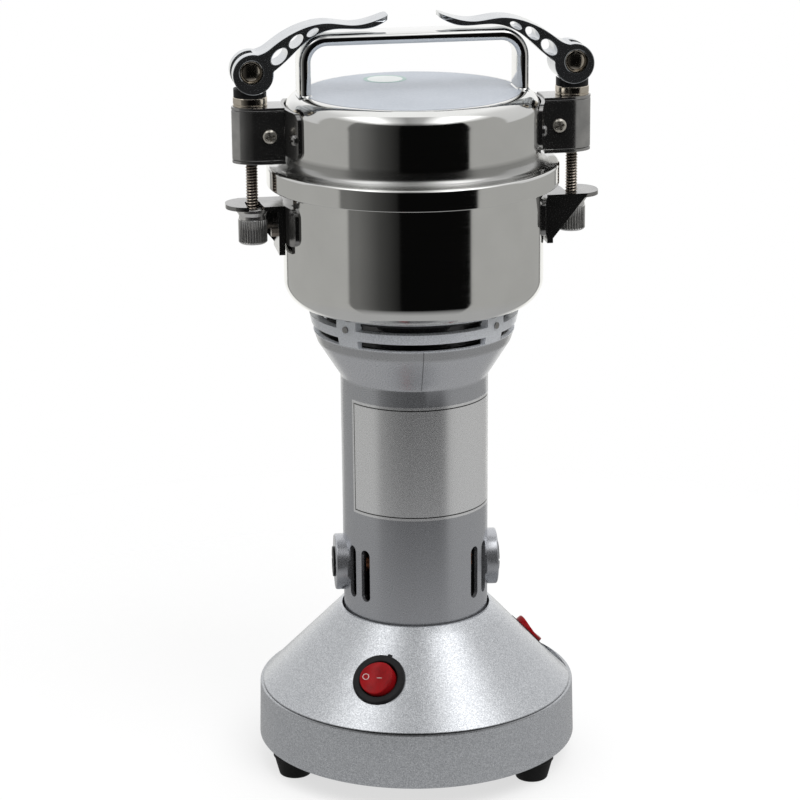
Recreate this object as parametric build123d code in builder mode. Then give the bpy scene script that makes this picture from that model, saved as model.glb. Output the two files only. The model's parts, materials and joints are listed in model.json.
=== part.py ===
# Electric powder grinder: a steel bowl with a clamped lid on a motor tube and a round cast base.
# Millimetres, +Z up. The origin is on the floor at the motor axis, and the two clamps lie on the X axis.
import os
from math import atan2, cos, degrees, hypot, radians, sin, sqrt

from build123d import *

os.makedirs("parts", exist_ok=True)

# Clearances
overrun = 6.0  # a cut runs this far past the face that it opens
seat_gap = 0.05  # round fixed pieces that slip into each other
running_gap = 0.06  # radial, round shafts and pins that turn
moving_gap = 0.4  # between other faces that move past each other

# Base: three rubber feet, a skirt and a cone
foot_height = 11.0
foot_top_radius = 9.5
foot_bottom_radius = 6.8
foot_edge_round = 1.2
foot_recess_radius = 3.6
foot_recess_depth = 5.0
foot_inset = 0.5  # the foot's top edge lies this far inside the skirt's edge
foot_count = 3
foot_turn = 77.5  # degrees from +X to the rear foot
base_radius = 69.9
skirt_height = 24.0
skirt_draft = 0.6
skirt_round = 1.8
base_wall = 3.0
crease_width = 0.9
crease_depth = 1.1
cone_height = 35.3
cone_inset = 1.9  # the cone starts this far inside the skirt's top
neck_round = 0.7
neck_lip = 0.9
neck_gap = 1.1  # open ring between the neck and the motor tube
plate_thickness = 2.5
plate_boss_height = 8.5
plate_boss_width = 7.0

# Motor housing: a drafted tube that flares to a slotted ring under the bowl
tube_radius = 31.4
tube_draft = 0.5
tube_height = 105.4  # from the neck to the flare
tube_wall = 2.8
flare_height = 15.3
flare_spread = 10.2  # each of the three spreads is a growth in radius
flare_round = 2.6
band_height = 4.8
band_spread = 1.6
lower_slot_height = 3.3
ring_height = 4.3
ring_spread = 1.7
ring_wall = 4.5
upper_slot_height = 4.0
post_count = 4
post_width = 10.5
body_turn = -4.1  # degrees, the motor housing stands turned against the clamps
air_slot_width = 5.0
air_slot_length = 23.5
air_slot_angles = (25.6, 41.5)  # degrees from the brush axis
brush_lift = 19.7  # from the neck to the brushes
brush_boss_radius = 12.3
brush_boss_stand = 4.2
brush_boss_round = 0.8
shield_thickness = 3.0

# Shaft, bearings, seal and blades
shaft_radius = 5.0
shaft_end_radius = 4.0
bearing_radius = 13.0
bearing_height = 8.0
bearing_wall = 3.0
bearing_lip = 1.5
bearing_end_radius = 11.0
bearing_end_height = 7.0
bearing_race = 2.6
bearing_web_share = 0.125
flange_thickness = 2.0
flange_recess = 3.9  # the flange's rim lies this far behind the posts
seal_radius = 14.0
seal_height = 3.4
blade_collar_radius = 8.0
blade_collar_height = 5.0
blade_thickness = 2.0
blade_width = 14.0
blade_gap = 7.4  # from the lower blade's tips to the bowl
blade_bevel = 3.4
blade_land = 0.5  # what the grinding leaves of the edge
blade_spacer_height = 9.0
top_blade_reach = 30.0
top_blade_bend = 24.0  # degrees, the upper blade's tips turn up
top_blade_flat = 12.0
nut_across_flats = 13.0
nut_height = 6.5
nut_dome_height = 3.5

# Motor inside the tube
stack_height = 48.0
stack_lift = 12.0  # from the commutator to the stack
stator_depth_share = 0.3846  # of the tube's bore, from there in to the armature
air_gap = 0.6
armature_slot_count = 8
armature_slot_width_share = 0.182  # this and the next are shares of the armature's radius
armature_slot_depth_share = 0.37
coil_depth_share = 0.582  # of the stator's depth
coil_span = 62.0  # degrees
coil_overhang = 6.0
coil_gap = 0.5
commutator_radius = 11.0
commutator_height = 20.0
brush_width = 6.4
brush_length = 8.4
brush_stock = 13.6  # what is left of the carbon
holder_radius = 6.2
holder_gap = 3.0  # from the commutator to the holder
cap_depth = 2.4
cap_radius = 6.6
cap_head = 0.9
cap_slot_width = 1.2
cap_slot_depth = 0.6
fan_spread = 4.4  # the fan's disc reaches this far past the tube's bore
fan_disc = 1.4
fan_blade_height = 9.0
fan_blade_start = 11.0
fan_blade_spread = 0.4
fan_blade_thickness = 1.4
fan_blade_count = 10
fan_drop = 2.0  # below the upper bearing's hub

# Bowl and lid in pressed steel
sheet = 1.0
bowl_radius = 55.4
bowl_height = 58.4
bowl_round = 10.9
bowl_flange_width = 5.1
bowl_flange_round = 1.5
gasket_thickness = 1.5
gasket_width = 2.2
lid_step = 1.3  # the lid's wall lies this far inside the bowl's
lid_height = 30.8
lid_shoulder = 8.0
lid_flange_gap = 0.5  # between the bowl's flange and the lid's skirt
lid_flange_round = 1.3
lid_cove = 4.0
lid_skirt_depth = 8.9

# Handle: an oval bar bent over the lid
handle_thickness = 5.0
handle_width = 16.0
handle_clear = 7.1  # from the bar's top up to the lever tips
handle_bend = 9.5
handle_foot_length = 19.5
handle_foot_width = 9.5
handle_foot_height = 1.6
handle_foot_taper = 30.0  # degrees

# Quick-release clamps
clamp_stand = 13.2  # from the bowl's wall to the bolt
saddle_thickness = 1.5
saddle_half_angle = 22.5
saddle_height = 19.5
saddle_lift = 1.7  # above the cove at the lid's flange
saddle_corner = 4.0
saddle_screw_angle = 18.8
block_height = 23.8
block_drop = 13.35  # from the saddle's middle to the block's lower face
block_nose = 8.0
block_wall = 1.5
cheek_wall = 1.6
cheek_margin = 2.3  # past the block's screws
screw_radius = 1.5
screw_head_radius = 3.0
screw_head_height = 1.9
screw_head_round = 1.1
screw_inset = 7.1  # from the bolt to the block's screws
bolt_radius = 2.5
bolt_gap = 0.45
bolt_end_chamfer = 0.6
washer_radius = 7.35
washer_height = 3.9
washer_chamfer = 0.5
seat_radius = 6.9
seat_height = 3.5
seat_floor = 1.45
seat_slack = 0.3  # the concave seat stands this far off the cam at its floor
boss_radius = 8.5
cam_throw = 1.2
cam_angle = 52.5  # degrees, from level down to the cam's centre when the lever is shut
pin_radius = 4.75
pin_bolt_bite = 3.0
lever_width = 17.0
lever_tip_width = 13.5
lever_reach = 57.8
lever_rise = 21.8
lever_tip_round = 3.0
lever_slot_angles = (81.0, 304.0)  # degrees, the bolt's sweep in the boss
lever_top_shares = ((0.026, 0.32), (0.095, 0.376), (0.164, 0.50), (0.344, 0.775),
                    (0.559, 0.89), (0.749, 0.835), (1.0, 1.0))
lever_under_shares = ((0.995, 0.905), (0.881, 0.775), (0.772, 0.755), (0.571, 0.757),
                      (0.391, 0.532), (0.225, 0.138), (0.13, -0.05))
lever_hole_shares = ((0.203, 0.292), (0.326, 0.569), (0.447, 0.726))  # middles, along and up
lever_hole_size_shares = ((1.0, 1.0), (0.87, 0.8), (0.667, 0.52))  # of the length and the width
lever_hole_length = 8.4
lever_hole_width = 5.0
lever_hole_tilts = (46.0, 43.0, 31.0)

# Catch brackets on the bowl
catch_plate_lip = 11.4  # past the bolt
catch_plate_half_width = 10.0
catch_plate_thickness = 1.8
catch_plate_drop = 12.8  # from the bowl's rim to the plate's top
catch_plate_corner = 9.0
catch_slot_gap = 0.7
catch_flange_height = 21.0
catch_gusset_share = 0.712  # of the plate's reach
catch_gusset_height = 19.0
catch_tab_half_angle = 21.0
catch_tab_height = 16.0
catch_bolt_radius = 2.0
catch_bolt_head = 2.2
catch_bolt_drop = 13.2  # below the plate's top
knob_gap = 0.3
knob_collar_radius = 6.75
knob_collar_height = 2.6
knob_neck_radius = 5.85
knob_neck_height = 2.0
knob_radius = 6.1
knob_height = 15.2
knob_chamfer = 0.7
bolt_end_inset = 1.0

# Switches and cord inlet
front_switch_angle = -117.6  # degrees from +X
front_switch_lift = 17.2  # above the crease
front_rocker_radius = 8.0
front_switch_wall = 1.2
front_bezel_lip = 1.5
front_bezel_height = 2.0
front_spot_depth = 0.9
side_switch_angle = 10.2
side_switch_lift = 14.6
side_rocker_radius = 7.2
side_switch_wall = 0.9
side_bezel_lip = 0.9
side_bezel_height = 0.8
side_facet_depth = 1.3
side_facet_tilt = 3.0
side_facet_half_width = 24.0
side_facet_above = 30.0
switch_depth_share = 0.517  # of the way along the switch's axis to the motor tube
switch_cavity_share = 0.57  # of the switch's depth
rocker_gap = 0.8
rocker_waist = 1.6  # height of the rocker's middle above the bezel's seat
rocker_horn = 3.4  # height of its two ends
rocker_depth_share = 0.45  # of the cavity
rocker_tilt = 9.0
trunnion_radius = 1.2
trunnion_bite = 0.6
inlet_angle = 90.0
inlet_lift = 12.0
inlet_flange_radius = 7.5
inlet_flange_height = 2.2
inlet_round = 0.7
inlet_barrel_radius = 5.6
inlet_bore_radius = 3.5

# Lock pins across the seam of the slotted ring
lock_pin_radius = 1.4
lock_pin_head = 0.5

# Levels from the floor up
skirt_level = foot_height
crease_level = skirt_level + skirt_height
neck_level = crease_level + cone_height
flare_level = neck_level + tube_height
band_level = flare_level + flare_height
lower_slot_level = band_level + band_height
ring_level = lower_slot_level + lower_slot_height
upper_slot_level = ring_level + ring_height
bowl_level = upper_slot_level + upper_slot_height
rim_level = bowl_level + bowl_height
lid_flange_level = rim_level + gasket_thickness
lid_level = lid_flange_level + lid_height
cove_level = lid_flange_level + sheet + lid_cove
block_level = cove_level + saddle_lift + saddle_height / 2 - block_drop
washer_level = block_level + block_height
seat_level = washer_level + washer_height
cam_level = seat_level + seat_floor + seat_slack + boss_radius
pivot_level = cam_level + cam_throw * sin(radians(cam_angle))
handle_level = pivot_level + lever_rise - handle_clear
shield_level = skirt_level + plate_thickness + plate_boss_height
tube_level = shield_level + shield_thickness
catch_level = rim_level - catch_plate_drop
knob_level = catch_level - catch_plate_thickness - knob_gap
bearing_level = bowl_level - flange_thickness - bearing_height
brush_level = neck_level + brush_lift
commutator_level = brush_level - commutator_height / 2
stack_level = commutator_level + commutator_height + stack_lift

# Radii from the motor axis outwards
bore_radius = tube_radius - tube_wall
armature_radius = bore_radius * (1 - stator_depth_share)
armature_slot_width = armature_radius * armature_slot_width_share
armature_slot_depth = armature_radius * armature_slot_depth_share
coil_depth = (bore_radius - armature_radius) * coil_depth_share
brush_boss_reach = tube_radius + brush_boss_stand
neck_radius = tube_radius + neck_gap + neck_lip
cone_foot_radius = base_radius - skirt_draft - cone_inset
flare_radius = tube_radius + flare_spread
band_radius = flare_radius + band_spread
ring_radius = band_radius + ring_spread
ring_inner_radius = ring_radius - ring_wall
bowl_flange_radius = bowl_radius + bowl_flange_width
lid_radius = bowl_radius - lid_step
lid_flange_radius = bowl_flange_radius + lid_flange_gap + sheet
saddle_radius = lid_radius + saddle_thickness
catch_tab_radius = bowl_radius + saddle_thickness
clamp_radius = bowl_radius + clamp_stand
block_screw_x = clamp_radius - screw_inset
catch_plate_reach = clamp_radius + catch_plate_lip
cone_slope = degrees(atan2(cone_height - crease_width, cone_foot_radius - neck_radius))
front_hole_radius = front_rocker_radius + rocker_gap + front_switch_wall
front_bezel_radius = front_hole_radius + front_bezel_lip
side_hole_radius = side_rocker_radius + rocker_gap + side_switch_wall
side_bezel_radius = side_hole_radius + side_bezel_lip


def direction(angle):
    return Vector(cos(radians(angle)), sin(radians(angle)), 0)


def save(part, label):
    part.label = label
    export_step(part, f"parts/{label}.step")


def save_pair(part, label):
    # The right-hand piece is drawn, and the left-hand one is the same piece half a turn on.
    save(part, f"{label}_right")
    save(part.rotate(Axis.Z, 180), f"{label}_left")


def turned(points, rounds):
    # A piece turned about the motor axis from its half section, with one corner radius per point.
    with BuildPart() as piece:
        with BuildSketch(Plane.XZ):
            with BuildLine():
                FilletPolyline(*points, radius=rounds, close=True)
            make_face()
        revolve(axis=Axis.Z)
    return piece.part


def ring(inner, outer, low, height):
    corners = ((inner, low), (outer, low), (outer, low + height), (inner, low + height))
    return turned(corners, [0, 0, 0, 0])


def lid_outline():
    # The lid's outer face from the axis to the lower edge of its turned-down skirt.
    FilletPolyline(
        (0, lid_level),
        (lid_radius, lid_level),
        (lid_radius, lid_flange_level + sheet),
        (lid_flange_radius, lid_flange_level + sheet),
        (lid_flange_radius, lid_flange_level + sheet - lid_skirt_depth),
        radius=[lid_shoulder, lid_cove, lid_flange_round],
    )


def arc_plate(inner, outer, half_angle, low, height, corner):
    # A plate bent round the motor axis on the +X side, with rounded corners.
    with BuildPart() as plate:
        with BuildSketch(Plane.XY.offset(low)):
            Circle(outer)
            Circle(inner, mode=Mode.SUBTRACT)
        extrude(amount=height)
        with BuildSketch(Plane.YZ):
            with Locations((0, low + height / 2)):
                RectangleRounded(2 * outer * sin(radians(half_angle)), height, corner)
        extrude(amount=outer + overrun, mode=Mode.INTERSECT)
    return plate.part


def tipped_plane(plane, angle):
    # The plane turned about its own Y axis, with its -X end sunk by a positive angle.
    lean, rise = cos(radians(angle)), sin(radians(angle))
    return Plane(
        plane.origin,
        x_dir=plane.x_dir * lean + plane.z_dir * rise,
        z_dir=plane.z_dir * lean - plane.x_dir * rise,
    )


def cone_plane(angle, lift, depth):
    # A plane on the cone: X runs level, Y up the slope and Z out of the surface.
    radius = cone_foot_radius - (lift - crease_width) / sin(radians(cone_slope)) * cos(radians(cone_slope))
    outward = direction(angle)
    normal = outward * sin(radians(cone_slope)) + Vector(0, 0, cos(radians(cone_slope)))
    origin = outward * radius + Vector(0, 0, crease_level + lift) - normal * depth
    return Plane(origin=origin, x_dir=direction(angle + 90), z_dir=normal)


front_plane = cone_plane(front_switch_angle, front_switch_lift, front_spot_depth)
side_slope_plane = cone_plane(side_switch_angle, side_switch_lift, side_facet_depth)
side_upright_plane = Plane(
    side_slope_plane.origin, x_dir=side_slope_plane.y_dir, z_dir=side_slope_plane.z_dir
)
side_plane = tipped_plane(side_upright_plane, side_facet_tilt)

# Base cover: skirt, crease and cone in one casting, with its switch openings
cone_wall_drop = base_wall / cos(radians(cone_slope))
cover_points = (
    (base_radius, skirt_level),
    (base_radius - skirt_draft, crease_level),
    (cone_foot_radius - crease_depth, crease_level),
    (cone_foot_radius - crease_depth, crease_level + crease_width),
    (cone_foot_radius, crease_level + crease_width),
    (neck_radius, neck_level),
    (tube_radius + neck_gap, neck_level),
    (tube_radius + neck_gap, neck_level - cone_wall_drop),
    (base_radius - 2 * base_wall, crease_level - base_wall),
    (base_radius - base_wall, crease_level - 2 * base_wall),
    (base_radius - base_wall, skirt_level),
)
cover_rounds = [0, skirt_round, 0, 0, 0, neck_round, 0, 0, 0, 0, 0]
facet_low = (side_switch_lift - 2 * crease_width) / sin(radians(cone_slope))
with BuildPart() as base_cover:
    with BuildSketch(Plane.XZ):
        with BuildLine():
            FilletPolyline(*cover_points, radius=cover_rounds, close=True)
        make_face()
    revolve(axis=Axis.Z)
    with BuildSketch(front_plane):
        Circle(front_bezel_radius + seat_gap)
    extrude(amount=overrun, mode=Mode.SUBTRACT)
    with BuildSketch(front_plane):
        Circle(front_hole_radius + seat_gap)
    extrude(amount=-base_wall - overrun, mode=Mode.SUBTRACT)
    with BuildSketch(side_plane):
        with Locations(((side_facet_above - facet_low) / 2, 0)):
            Rectangle(side_facet_above + facet_low, 2 * side_facet_half_width)
    extrude(amount=overrun, mode=Mode.SUBTRACT)
    with BuildSketch(side_plane):
        Circle(side_hole_radius + seat_gap)
    extrude(amount=-base_wall - overrun, mode=Mode.SUBTRACT)
    inlet_plane = Plane(
        origin=direction(inlet_angle) * base_radius + Vector(0, 0, skirt_level + inlet_lift),
        x_dir=direction(inlet_angle + 90),
        z_dir=direction(inlet_angle),
    )
    with BuildSketch(inlet_plane):
        Circle(inlet_barrel_radius + seat_gap)
    extrude(amount=base_wall + overrun, both=True, mode=Mode.SUBTRACT)
save(base_cover.part, "base_cover")

# Base plate: closes the skirt from below and carries the motor on a raised ring
plate_radius = base_radius - base_wall - seat_gap
boss_outer_radius = tube_radius
plate_points = (
    (0, skirt_level),
    (plate_radius, skirt_level),
    (plate_radius, skirt_level + plate_thickness),
    (boss_outer_radius, skirt_level + plate_thickness),
    (boss_outer_radius, shield_level),
    (boss_outer_radius - plate_boss_width, shield_level),
    (boss_outer_radius - plate_boss_width, skirt_level + plate_thickness),
    (0, skirt_level + plate_thickness),
)
save(turned(plate_points, 8 * [0]), "base_plate")

# Feet: tapered rubber with a screw recess from below
foot_circle_radius = base_radius - foot_top_radius - foot_inset
foot_points = (
    (0, foot_recess_depth),
    (foot_recess_radius, foot_recess_depth),
    (foot_recess_radius, 0),
    (foot_bottom_radius, 0),
    (foot_top_radius, foot_height),
    (0, foot_height),
)
foot = turned(foot_points, [0, 0, 0, foot_edge_round, 0, 0])
for number in range(foot_count):
    spot = direction(foot_turn + number * 360 / foot_count) * foot_circle_radius
    save(foot.translate(spot), f"foot_{number + 1}")

# Cord inlet: a flanged bush in the rear of the skirt
with BuildPart() as cord_grommet:
    with BuildSketch(inlet_plane):
        Circle(inlet_flange_radius)
    extrude(amount=inlet_flange_height)
    fillet(cord_grommet.edges().group_by(Axis.Y)[-1], inlet_round)
    with BuildSketch(inlet_plane):
        Circle(inlet_barrel_radius)
    extrude(amount=-base_wall - inlet_flange_height)
    with BuildSketch(inlet_plane.offset(inlet_flange_height)):
        Circle(inlet_bore_radius)
    extrude(amount=-base_wall - 2 * inlet_flange_height - overrun, mode=Mode.SUBTRACT)
save(cord_grommet.part, "cord_grommet")

# Motor housing: tube, flare, slotted ring, two brush bosses and the air slots beside them
housing_points = (
    (tube_radius, tube_level),
    (tube_radius + tube_draft, flare_level),
    (flare_radius, band_level),
    (band_radius, lower_slot_level),
    (ring_radius, upper_slot_level),
    (ring_inner_radius, upper_slot_level),
    (ring_inner_radius, lower_slot_level),
    (bore_radius, flare_level - tube_wall),
    (bore_radius, tube_level),
)
housing_rounds = [0, tube_wall / 2, flare_round, 0, 0, 0, 0, 0, 0]
boss_root = sqrt(tube_radius**2 - brush_boss_radius**2) - tube_wall / 2
brush_angles = (body_turn, body_turn + 180)


def brush_plane(angle, reach):
    start = direction(angle) * reach + Vector(0, 0, brush_level)
    return Plane(origin=start, x_dir=direction(angle + 90), z_dir=direction(angle))


with BuildPart() as motor_housing:
    with BuildSketch(Plane.XZ):
        with BuildLine():
            FilletPolyline(*housing_points, radius=housing_rounds, close=True)
        make_face()
    revolve(axis=Axis.Z)
    with BuildSketch(Plane.XY.offset(lower_slot_level)):
        Circle(ring_radius + overrun)
        Circle(ring_inner_radius - overrun, mode=Mode.SUBTRACT)
        with PolarLocations(ring_radius, post_count, start_angle=body_turn + 180 / post_count):
            Rectangle(2 * (ring_wall + overrun), post_width, mode=Mode.SUBTRACT)
    extrude(amount=lower_slot_height, mode=Mode.SUBTRACT)
    for brush_angle in brush_angles:
        with BuildSketch(brush_plane(brush_angle, boss_root)):
            Circle(brush_boss_radius)
        extrude(amount=brush_boss_reach - boss_root)
        boss_far = brush_plane(brush_angle, base_radius).origin
        boss_edge = motor_housing.edges().filter_by(GeomType.CIRCLE).sort_by_distance(boss_far)[0]
        fillet(boss_edge, brush_boss_round)
        with BuildSketch(brush_plane(brush_angle, 0)):
            Circle(holder_radius + seat_gap)
        extrude(amount=brush_boss_reach + overrun, mode=Mode.SUBTRACT)
        for slot_angle in air_slot_angles:
            for turn in (-slot_angle, slot_angle):
                with BuildSketch(brush_plane(brush_angle + turn, 0)):
                    SlotOverall(air_slot_length, air_slot_width, rotation=90)
                extrude(amount=tube_radius + overrun, mode=Mode.SUBTRACT)
    for pin_number in range(post_count):
        pin_angle = body_turn + (pin_number + 1 / 2) * 360 / post_count
        pin_start = direction(pin_angle) * ring_inner_radius + Vector(0, 0, upper_slot_level)
        with BuildSketch(Plane(pin_start, x_dir=direction(pin_angle + 90), z_dir=direction(pin_angle))):
            Circle(lock_pin_radius + seat_gap)
        extrude(amount=ring_wall + overrun, mode=Mode.SUBTRACT)
save(motor_housing.part, "motor_housing")

# Bearing flange: a plate under the bowl on four posts, with the upper bearing's hub
hub_radius = bearing_radius + bearing_wall
hub_level = bearing_level - bearing_lip
flange_radius = ring_radius - flange_recess
flange_points = (
    (shaft_radius + moving_gap, bowl_level),
    (flange_radius, bowl_level),
    (flange_radius, bowl_level - flange_thickness),
    (hub_radius, bowl_level - flange_thickness),
    (hub_radius, hub_level),
    (bearing_radius + seat_gap, hub_level),
    (bearing_radius + seat_gap, bowl_level - flange_thickness),
    (shaft_radius + moving_gap, bowl_level - flange_thickness),
)
with BuildPart() as bearing_flange:
    with BuildSketch(Plane.XZ):
        with BuildLine():
            Polyline(*flange_points, close=True)
        make_face()
    revolve(axis=Axis.Z)
    with BuildSketch(Plane.XY.offset(upper_slot_level)):
        with PolarLocations(ring_radius - ring_wall / 2, post_count, body_turn + 180 / post_count):
            Rectangle(ring_wall + overrun, post_width)
        Circle(ring_inner_radius, mode=Mode.SUBTRACT)
        with BuildSketch(mode=Mode.INTERSECT):
            Circle(ring_radius)
    extrude(amount=upper_slot_height)
    for pin_number in range(post_count):
        pin_angle = body_turn + (pin_number + 1 / 2) * 360 / post_count
        pin_start = direction(pin_angle) * (ring_inner_radius - overrun) + Vector(0, 0, upper_slot_level)
        with BuildSketch(Plane(pin_start, x_dir=direction(pin_angle + 90), z_dir=direction(pin_angle))):
            Circle(lock_pin_radius + seat_gap)
        extrude(amount=ring_wall + 2 * overrun, mode=Mode.SUBTRACT)
save(bearing_flange.part, "bearing_flange")

# Lock pins: one in each post, half in the ring and half in the flange
with BuildPart() as lock_pins:
    for pin_number in range(post_count):
        pin_angle = body_turn + (pin_number + 1 / 2) * 360 / post_count
        pin_start = direction(pin_angle) * ring_inner_radius + Vector(0, 0, upper_slot_level)
        with BuildSketch(Plane(pin_start, x_dir=direction(pin_angle + 90), z_dir=direction(pin_angle))):
            Circle(lock_pin_radius)
        extrude(amount=ring_wall + lock_pin_head)
save(lock_pins.part, "lock_pins")

# Bottom shield: closes the tube and holds the lower bearing
shield_hub_level = tube_level + bearing_end_height + bearing_lip
shield_points = (
    (0, shield_level),
    (tube_radius, shield_level),
    (tube_radius, tube_level),
    (bore_radius - seat_gap, tube_level),
    (bore_radius - seat_gap, tube_level + shield_thickness),
    (bearing_end_radius + bearing_wall, tube_level + shield_thickness),
    (bearing_end_radius + bearing_wall, shield_hub_level),
    (bearing_end_radius + seat_gap, shield_hub_level),
    (bearing_end_radius + seat_gap, tube_level),
    (0, tube_level),
)
save(turned(shield_points, 10 * [0]), "bottom_shield")


# Bearings: an inner and an outer race joined by a shallow shielded web
def bearing(bore, outer, low, height):
    web = height * bearing_web_share
    points = (
        (bore, low),
        (bore + bearing_race, low),
        (bore + bearing_race, low + web),
        (outer - bearing_race, low + web),
        (outer - bearing_race, low),
        (outer, low),
        (outer, low + height),
        (outer - bearing_race, low + height),
        (outer - bearing_race, low + height - web),
        (bore + bearing_race, low + height - web),
        (bore + bearing_race, low + height),
        (bore, low + height),
    )
    return turned(points, 12 * [0])


bore_fit = shaft_radius + running_gap
end_fit = shaft_end_radius + running_gap
save(bearing(bore_fit, bearing_radius, bearing_level, bearing_height), "bearing_upper")
save(bearing(end_fit, bearing_end_radius, tube_level, bearing_end_height), "bearing_lower")

# Stator: a two-pole stack with a window at the front and the back for the coils
stator_bore = armature_radius + air_gap
coil_start = stator_bore + coil_gap
window_span = coil_span + 2 * degrees(coil_gap / stator_bore)


def coil_sector(inner, outer, span, middle):
    near = CenterArc((0, 0), inner, middle - span / 2, span)
    far = CenterArc((0, 0), outer, middle - span / 2, span)
    Line(near @ 0, far @ 0)
    Line(near @ 1, far @ 1)


coil_sides = {"front": body_turn - 90, "back": body_turn + 90}
with BuildPart() as stator_core:
    with BuildSketch(Plane.XY.offset(stack_level)):
        Circle(bore_radius - seat_gap)
        Circle(stator_bore, mode=Mode.SUBTRACT)
        for middle in coil_sides.values():
            with BuildLine():
                coil_sector(stator_bore - air_gap, coil_start + coil_depth + coil_gap, window_span, middle)
            make_face(mode=Mode.SUBTRACT)
    extrude(amount=stack_height)
save(stator_core.part, "stator_core")

for coil_side, middle in coil_sides.items():
    with BuildPart() as field_coil:
        with BuildSketch(Plane.XY.offset(stack_level - coil_overhang)):
            with BuildLine():
                coil_sector(coil_start, coil_start + coil_depth + coil_gap, coil_span, middle)
            make_face()
        extrude(amount=stack_height + 2 * coil_overhang)
    save(field_coil.part, f"field_coil_{coil_side}")

# Brush gear: holder, carbon brush and screw cap on each side
holder_start = commutator_radius + holder_gap
holder_end = brush_boss_reach - cap_depth
for side_name, brush_angle in zip(("right", "left"), brush_angles):
    with BuildPart() as brush_holder:
        with BuildSketch(brush_plane(brush_angle, holder_start)):
            Circle(holder_radius)
            Rectangle(brush_width + 2 * seat_gap, brush_length + 2 * seat_gap, mode=Mode.SUBTRACT)
        extrude(amount=holder_end - holder_start)
    save(brush_holder.part, f"brush_holder_{side_name}")
    with BuildPart() as carbon_brush:
        with BuildSketch(brush_plane(brush_angle, commutator_radius + moving_gap)):
            Rectangle(brush_width, brush_length)
        extrude(amount=brush_stock)
    save(carbon_brush.part, f"carbon_brush_{side_name}")
    with BuildPart() as brush_cap:
        with BuildSketch(brush_plane(brush_angle, holder_end)):
            Circle(holder_radius)
        extrude(amount=cap_depth)
        with BuildSketch(brush_plane(brush_angle, brush_boss_reach)):
            Circle(cap_radius)
        extrude(amount=cap_head)
        with BuildSketch(brush_plane(brush_angle, brush_boss_reach + cap_head)):
            Rectangle(2 * cap_radius, cap_slot_width)
        extrude(amount=-cap_slot_depth, mode=Mode.SUBTRACT)
    save(brush_cap.part, f"brush_cap_{side_name}")

# Rotor: stepped shaft, armature, commutator and fan
seal_level = bowl_level + sheet
collar_level = seal_level + seal_height + moving_gap
lower_blade_level = collar_level + blade_collar_height
spacer_level = lower_blade_level + blade_thickness
upper_blade_level = spacer_level + blade_spacer_height
blade_nut_level = upper_blade_level + blade_thickness
shaft_low_level = tube_level + bearing_lip
shaft_step_level = tube_level + bearing_end_height + bearing_lip
shaft_top_level = blade_nut_level + nut_height
shaft_points = (
    (0, shaft_low_level),
    (shaft_end_radius, shaft_low_level),
    (shaft_end_radius, shaft_step_level),
    (shaft_radius, shaft_step_level),
    (shaft_radius, collar_level),
    (blade_collar_radius, collar_level),
    (blade_collar_radius, lower_blade_level),
    (shaft_end_radius, lower_blade_level),
    (shaft_end_radius, shaft_top_level),
    (0, shaft_top_level),
)
save(turned(shaft_points, 10 * [0]), "shaft")

with BuildPart() as armature_core:
    with BuildSketch(Plane.XY.offset(stack_level)):
        Circle(armature_radius)
        Circle(shaft_radius + seat_gap, mode=Mode.SUBTRACT)
        with PolarLocations(armature_radius - armature_slot_depth / 2, armature_slot_count):
            Rectangle(armature_slot_depth + air_gap, armature_slot_width, mode=Mode.SUBTRACT)
    extrude(amount=stack_height)
save(armature_core.part, "armature_core")

save(ring(shaft_radius + seat_gap, commutator_radius, commutator_level, commutator_height), "commutator")

fan_level = hub_level - fan_drop - fan_disc
fan_blade_reach = bore_radius + fan_blade_spread
with BuildPart() as fan:
    with BuildSketch(Plane.XY.offset(fan_level)):
        Circle(bore_radius + fan_spread)
    extrude(amount=fan_disc)
    with BuildSketch(Plane.XY.offset(fan_level)):
        Circle(fan_blade_start)
        with PolarLocations((fan_blade_start + fan_blade_reach) / 2, fan_blade_count):
            Rectangle(fan_blade_reach - fan_blade_start + fan_disc, fan_blade_thickness)
    extrude(amount=-fan_blade_height)
    with BuildSketch(Plane.XY.offset(fan_level + fan_disc)):
        Circle(shaft_radius + seat_gap)
    extrude(amount=-fan_blade_height - overrun, mode=Mode.SUBTRACT)
save(fan.part, "fan")

# Blades: a flat lower pair and an upper pair with upturned tips, both ground on their leading edges
blade_bore = shaft_end_radius + seat_gap
blade_reach = bowl_radius - sheet - blade_gap


def ground_edge(outward, start, level):
    # The wedge that the grinding takes off one arm's leading edge.
    plane = Plane(origin=(outward * start, 0, level), x_dir=(0, outward, 0), z_dir=(outward, 0, 0))
    with BuildSketch(plane) as wedge:
        with BuildLine():
            Polyline(
                (blade_width / 2 - blade_bevel, blade_thickness),
                (blade_width / 2 + blade_land, blade_land),
                (blade_width / 2 + blade_land, blade_thickness + blade_land),
                close=True,
            )
        make_face()
    return wedge.sketch


with BuildPart() as blade_lower:
    with BuildSketch(Plane.XY.offset(lower_blade_level)):
        SlotOverall(2 * blade_reach, blade_width)
        Circle(blade_bore, mode=Mode.SUBTRACT)
    extrude(amount=blade_thickness)
    for outward in (1, -1):
        wedge = ground_edge(outward, blade_collar_radius + blade_bevel, lower_blade_level)
        extrude(wedge, amount=blade_reach, mode=Mode.SUBTRACT)
save(blade_lower.part, "blade_lower")

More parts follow.
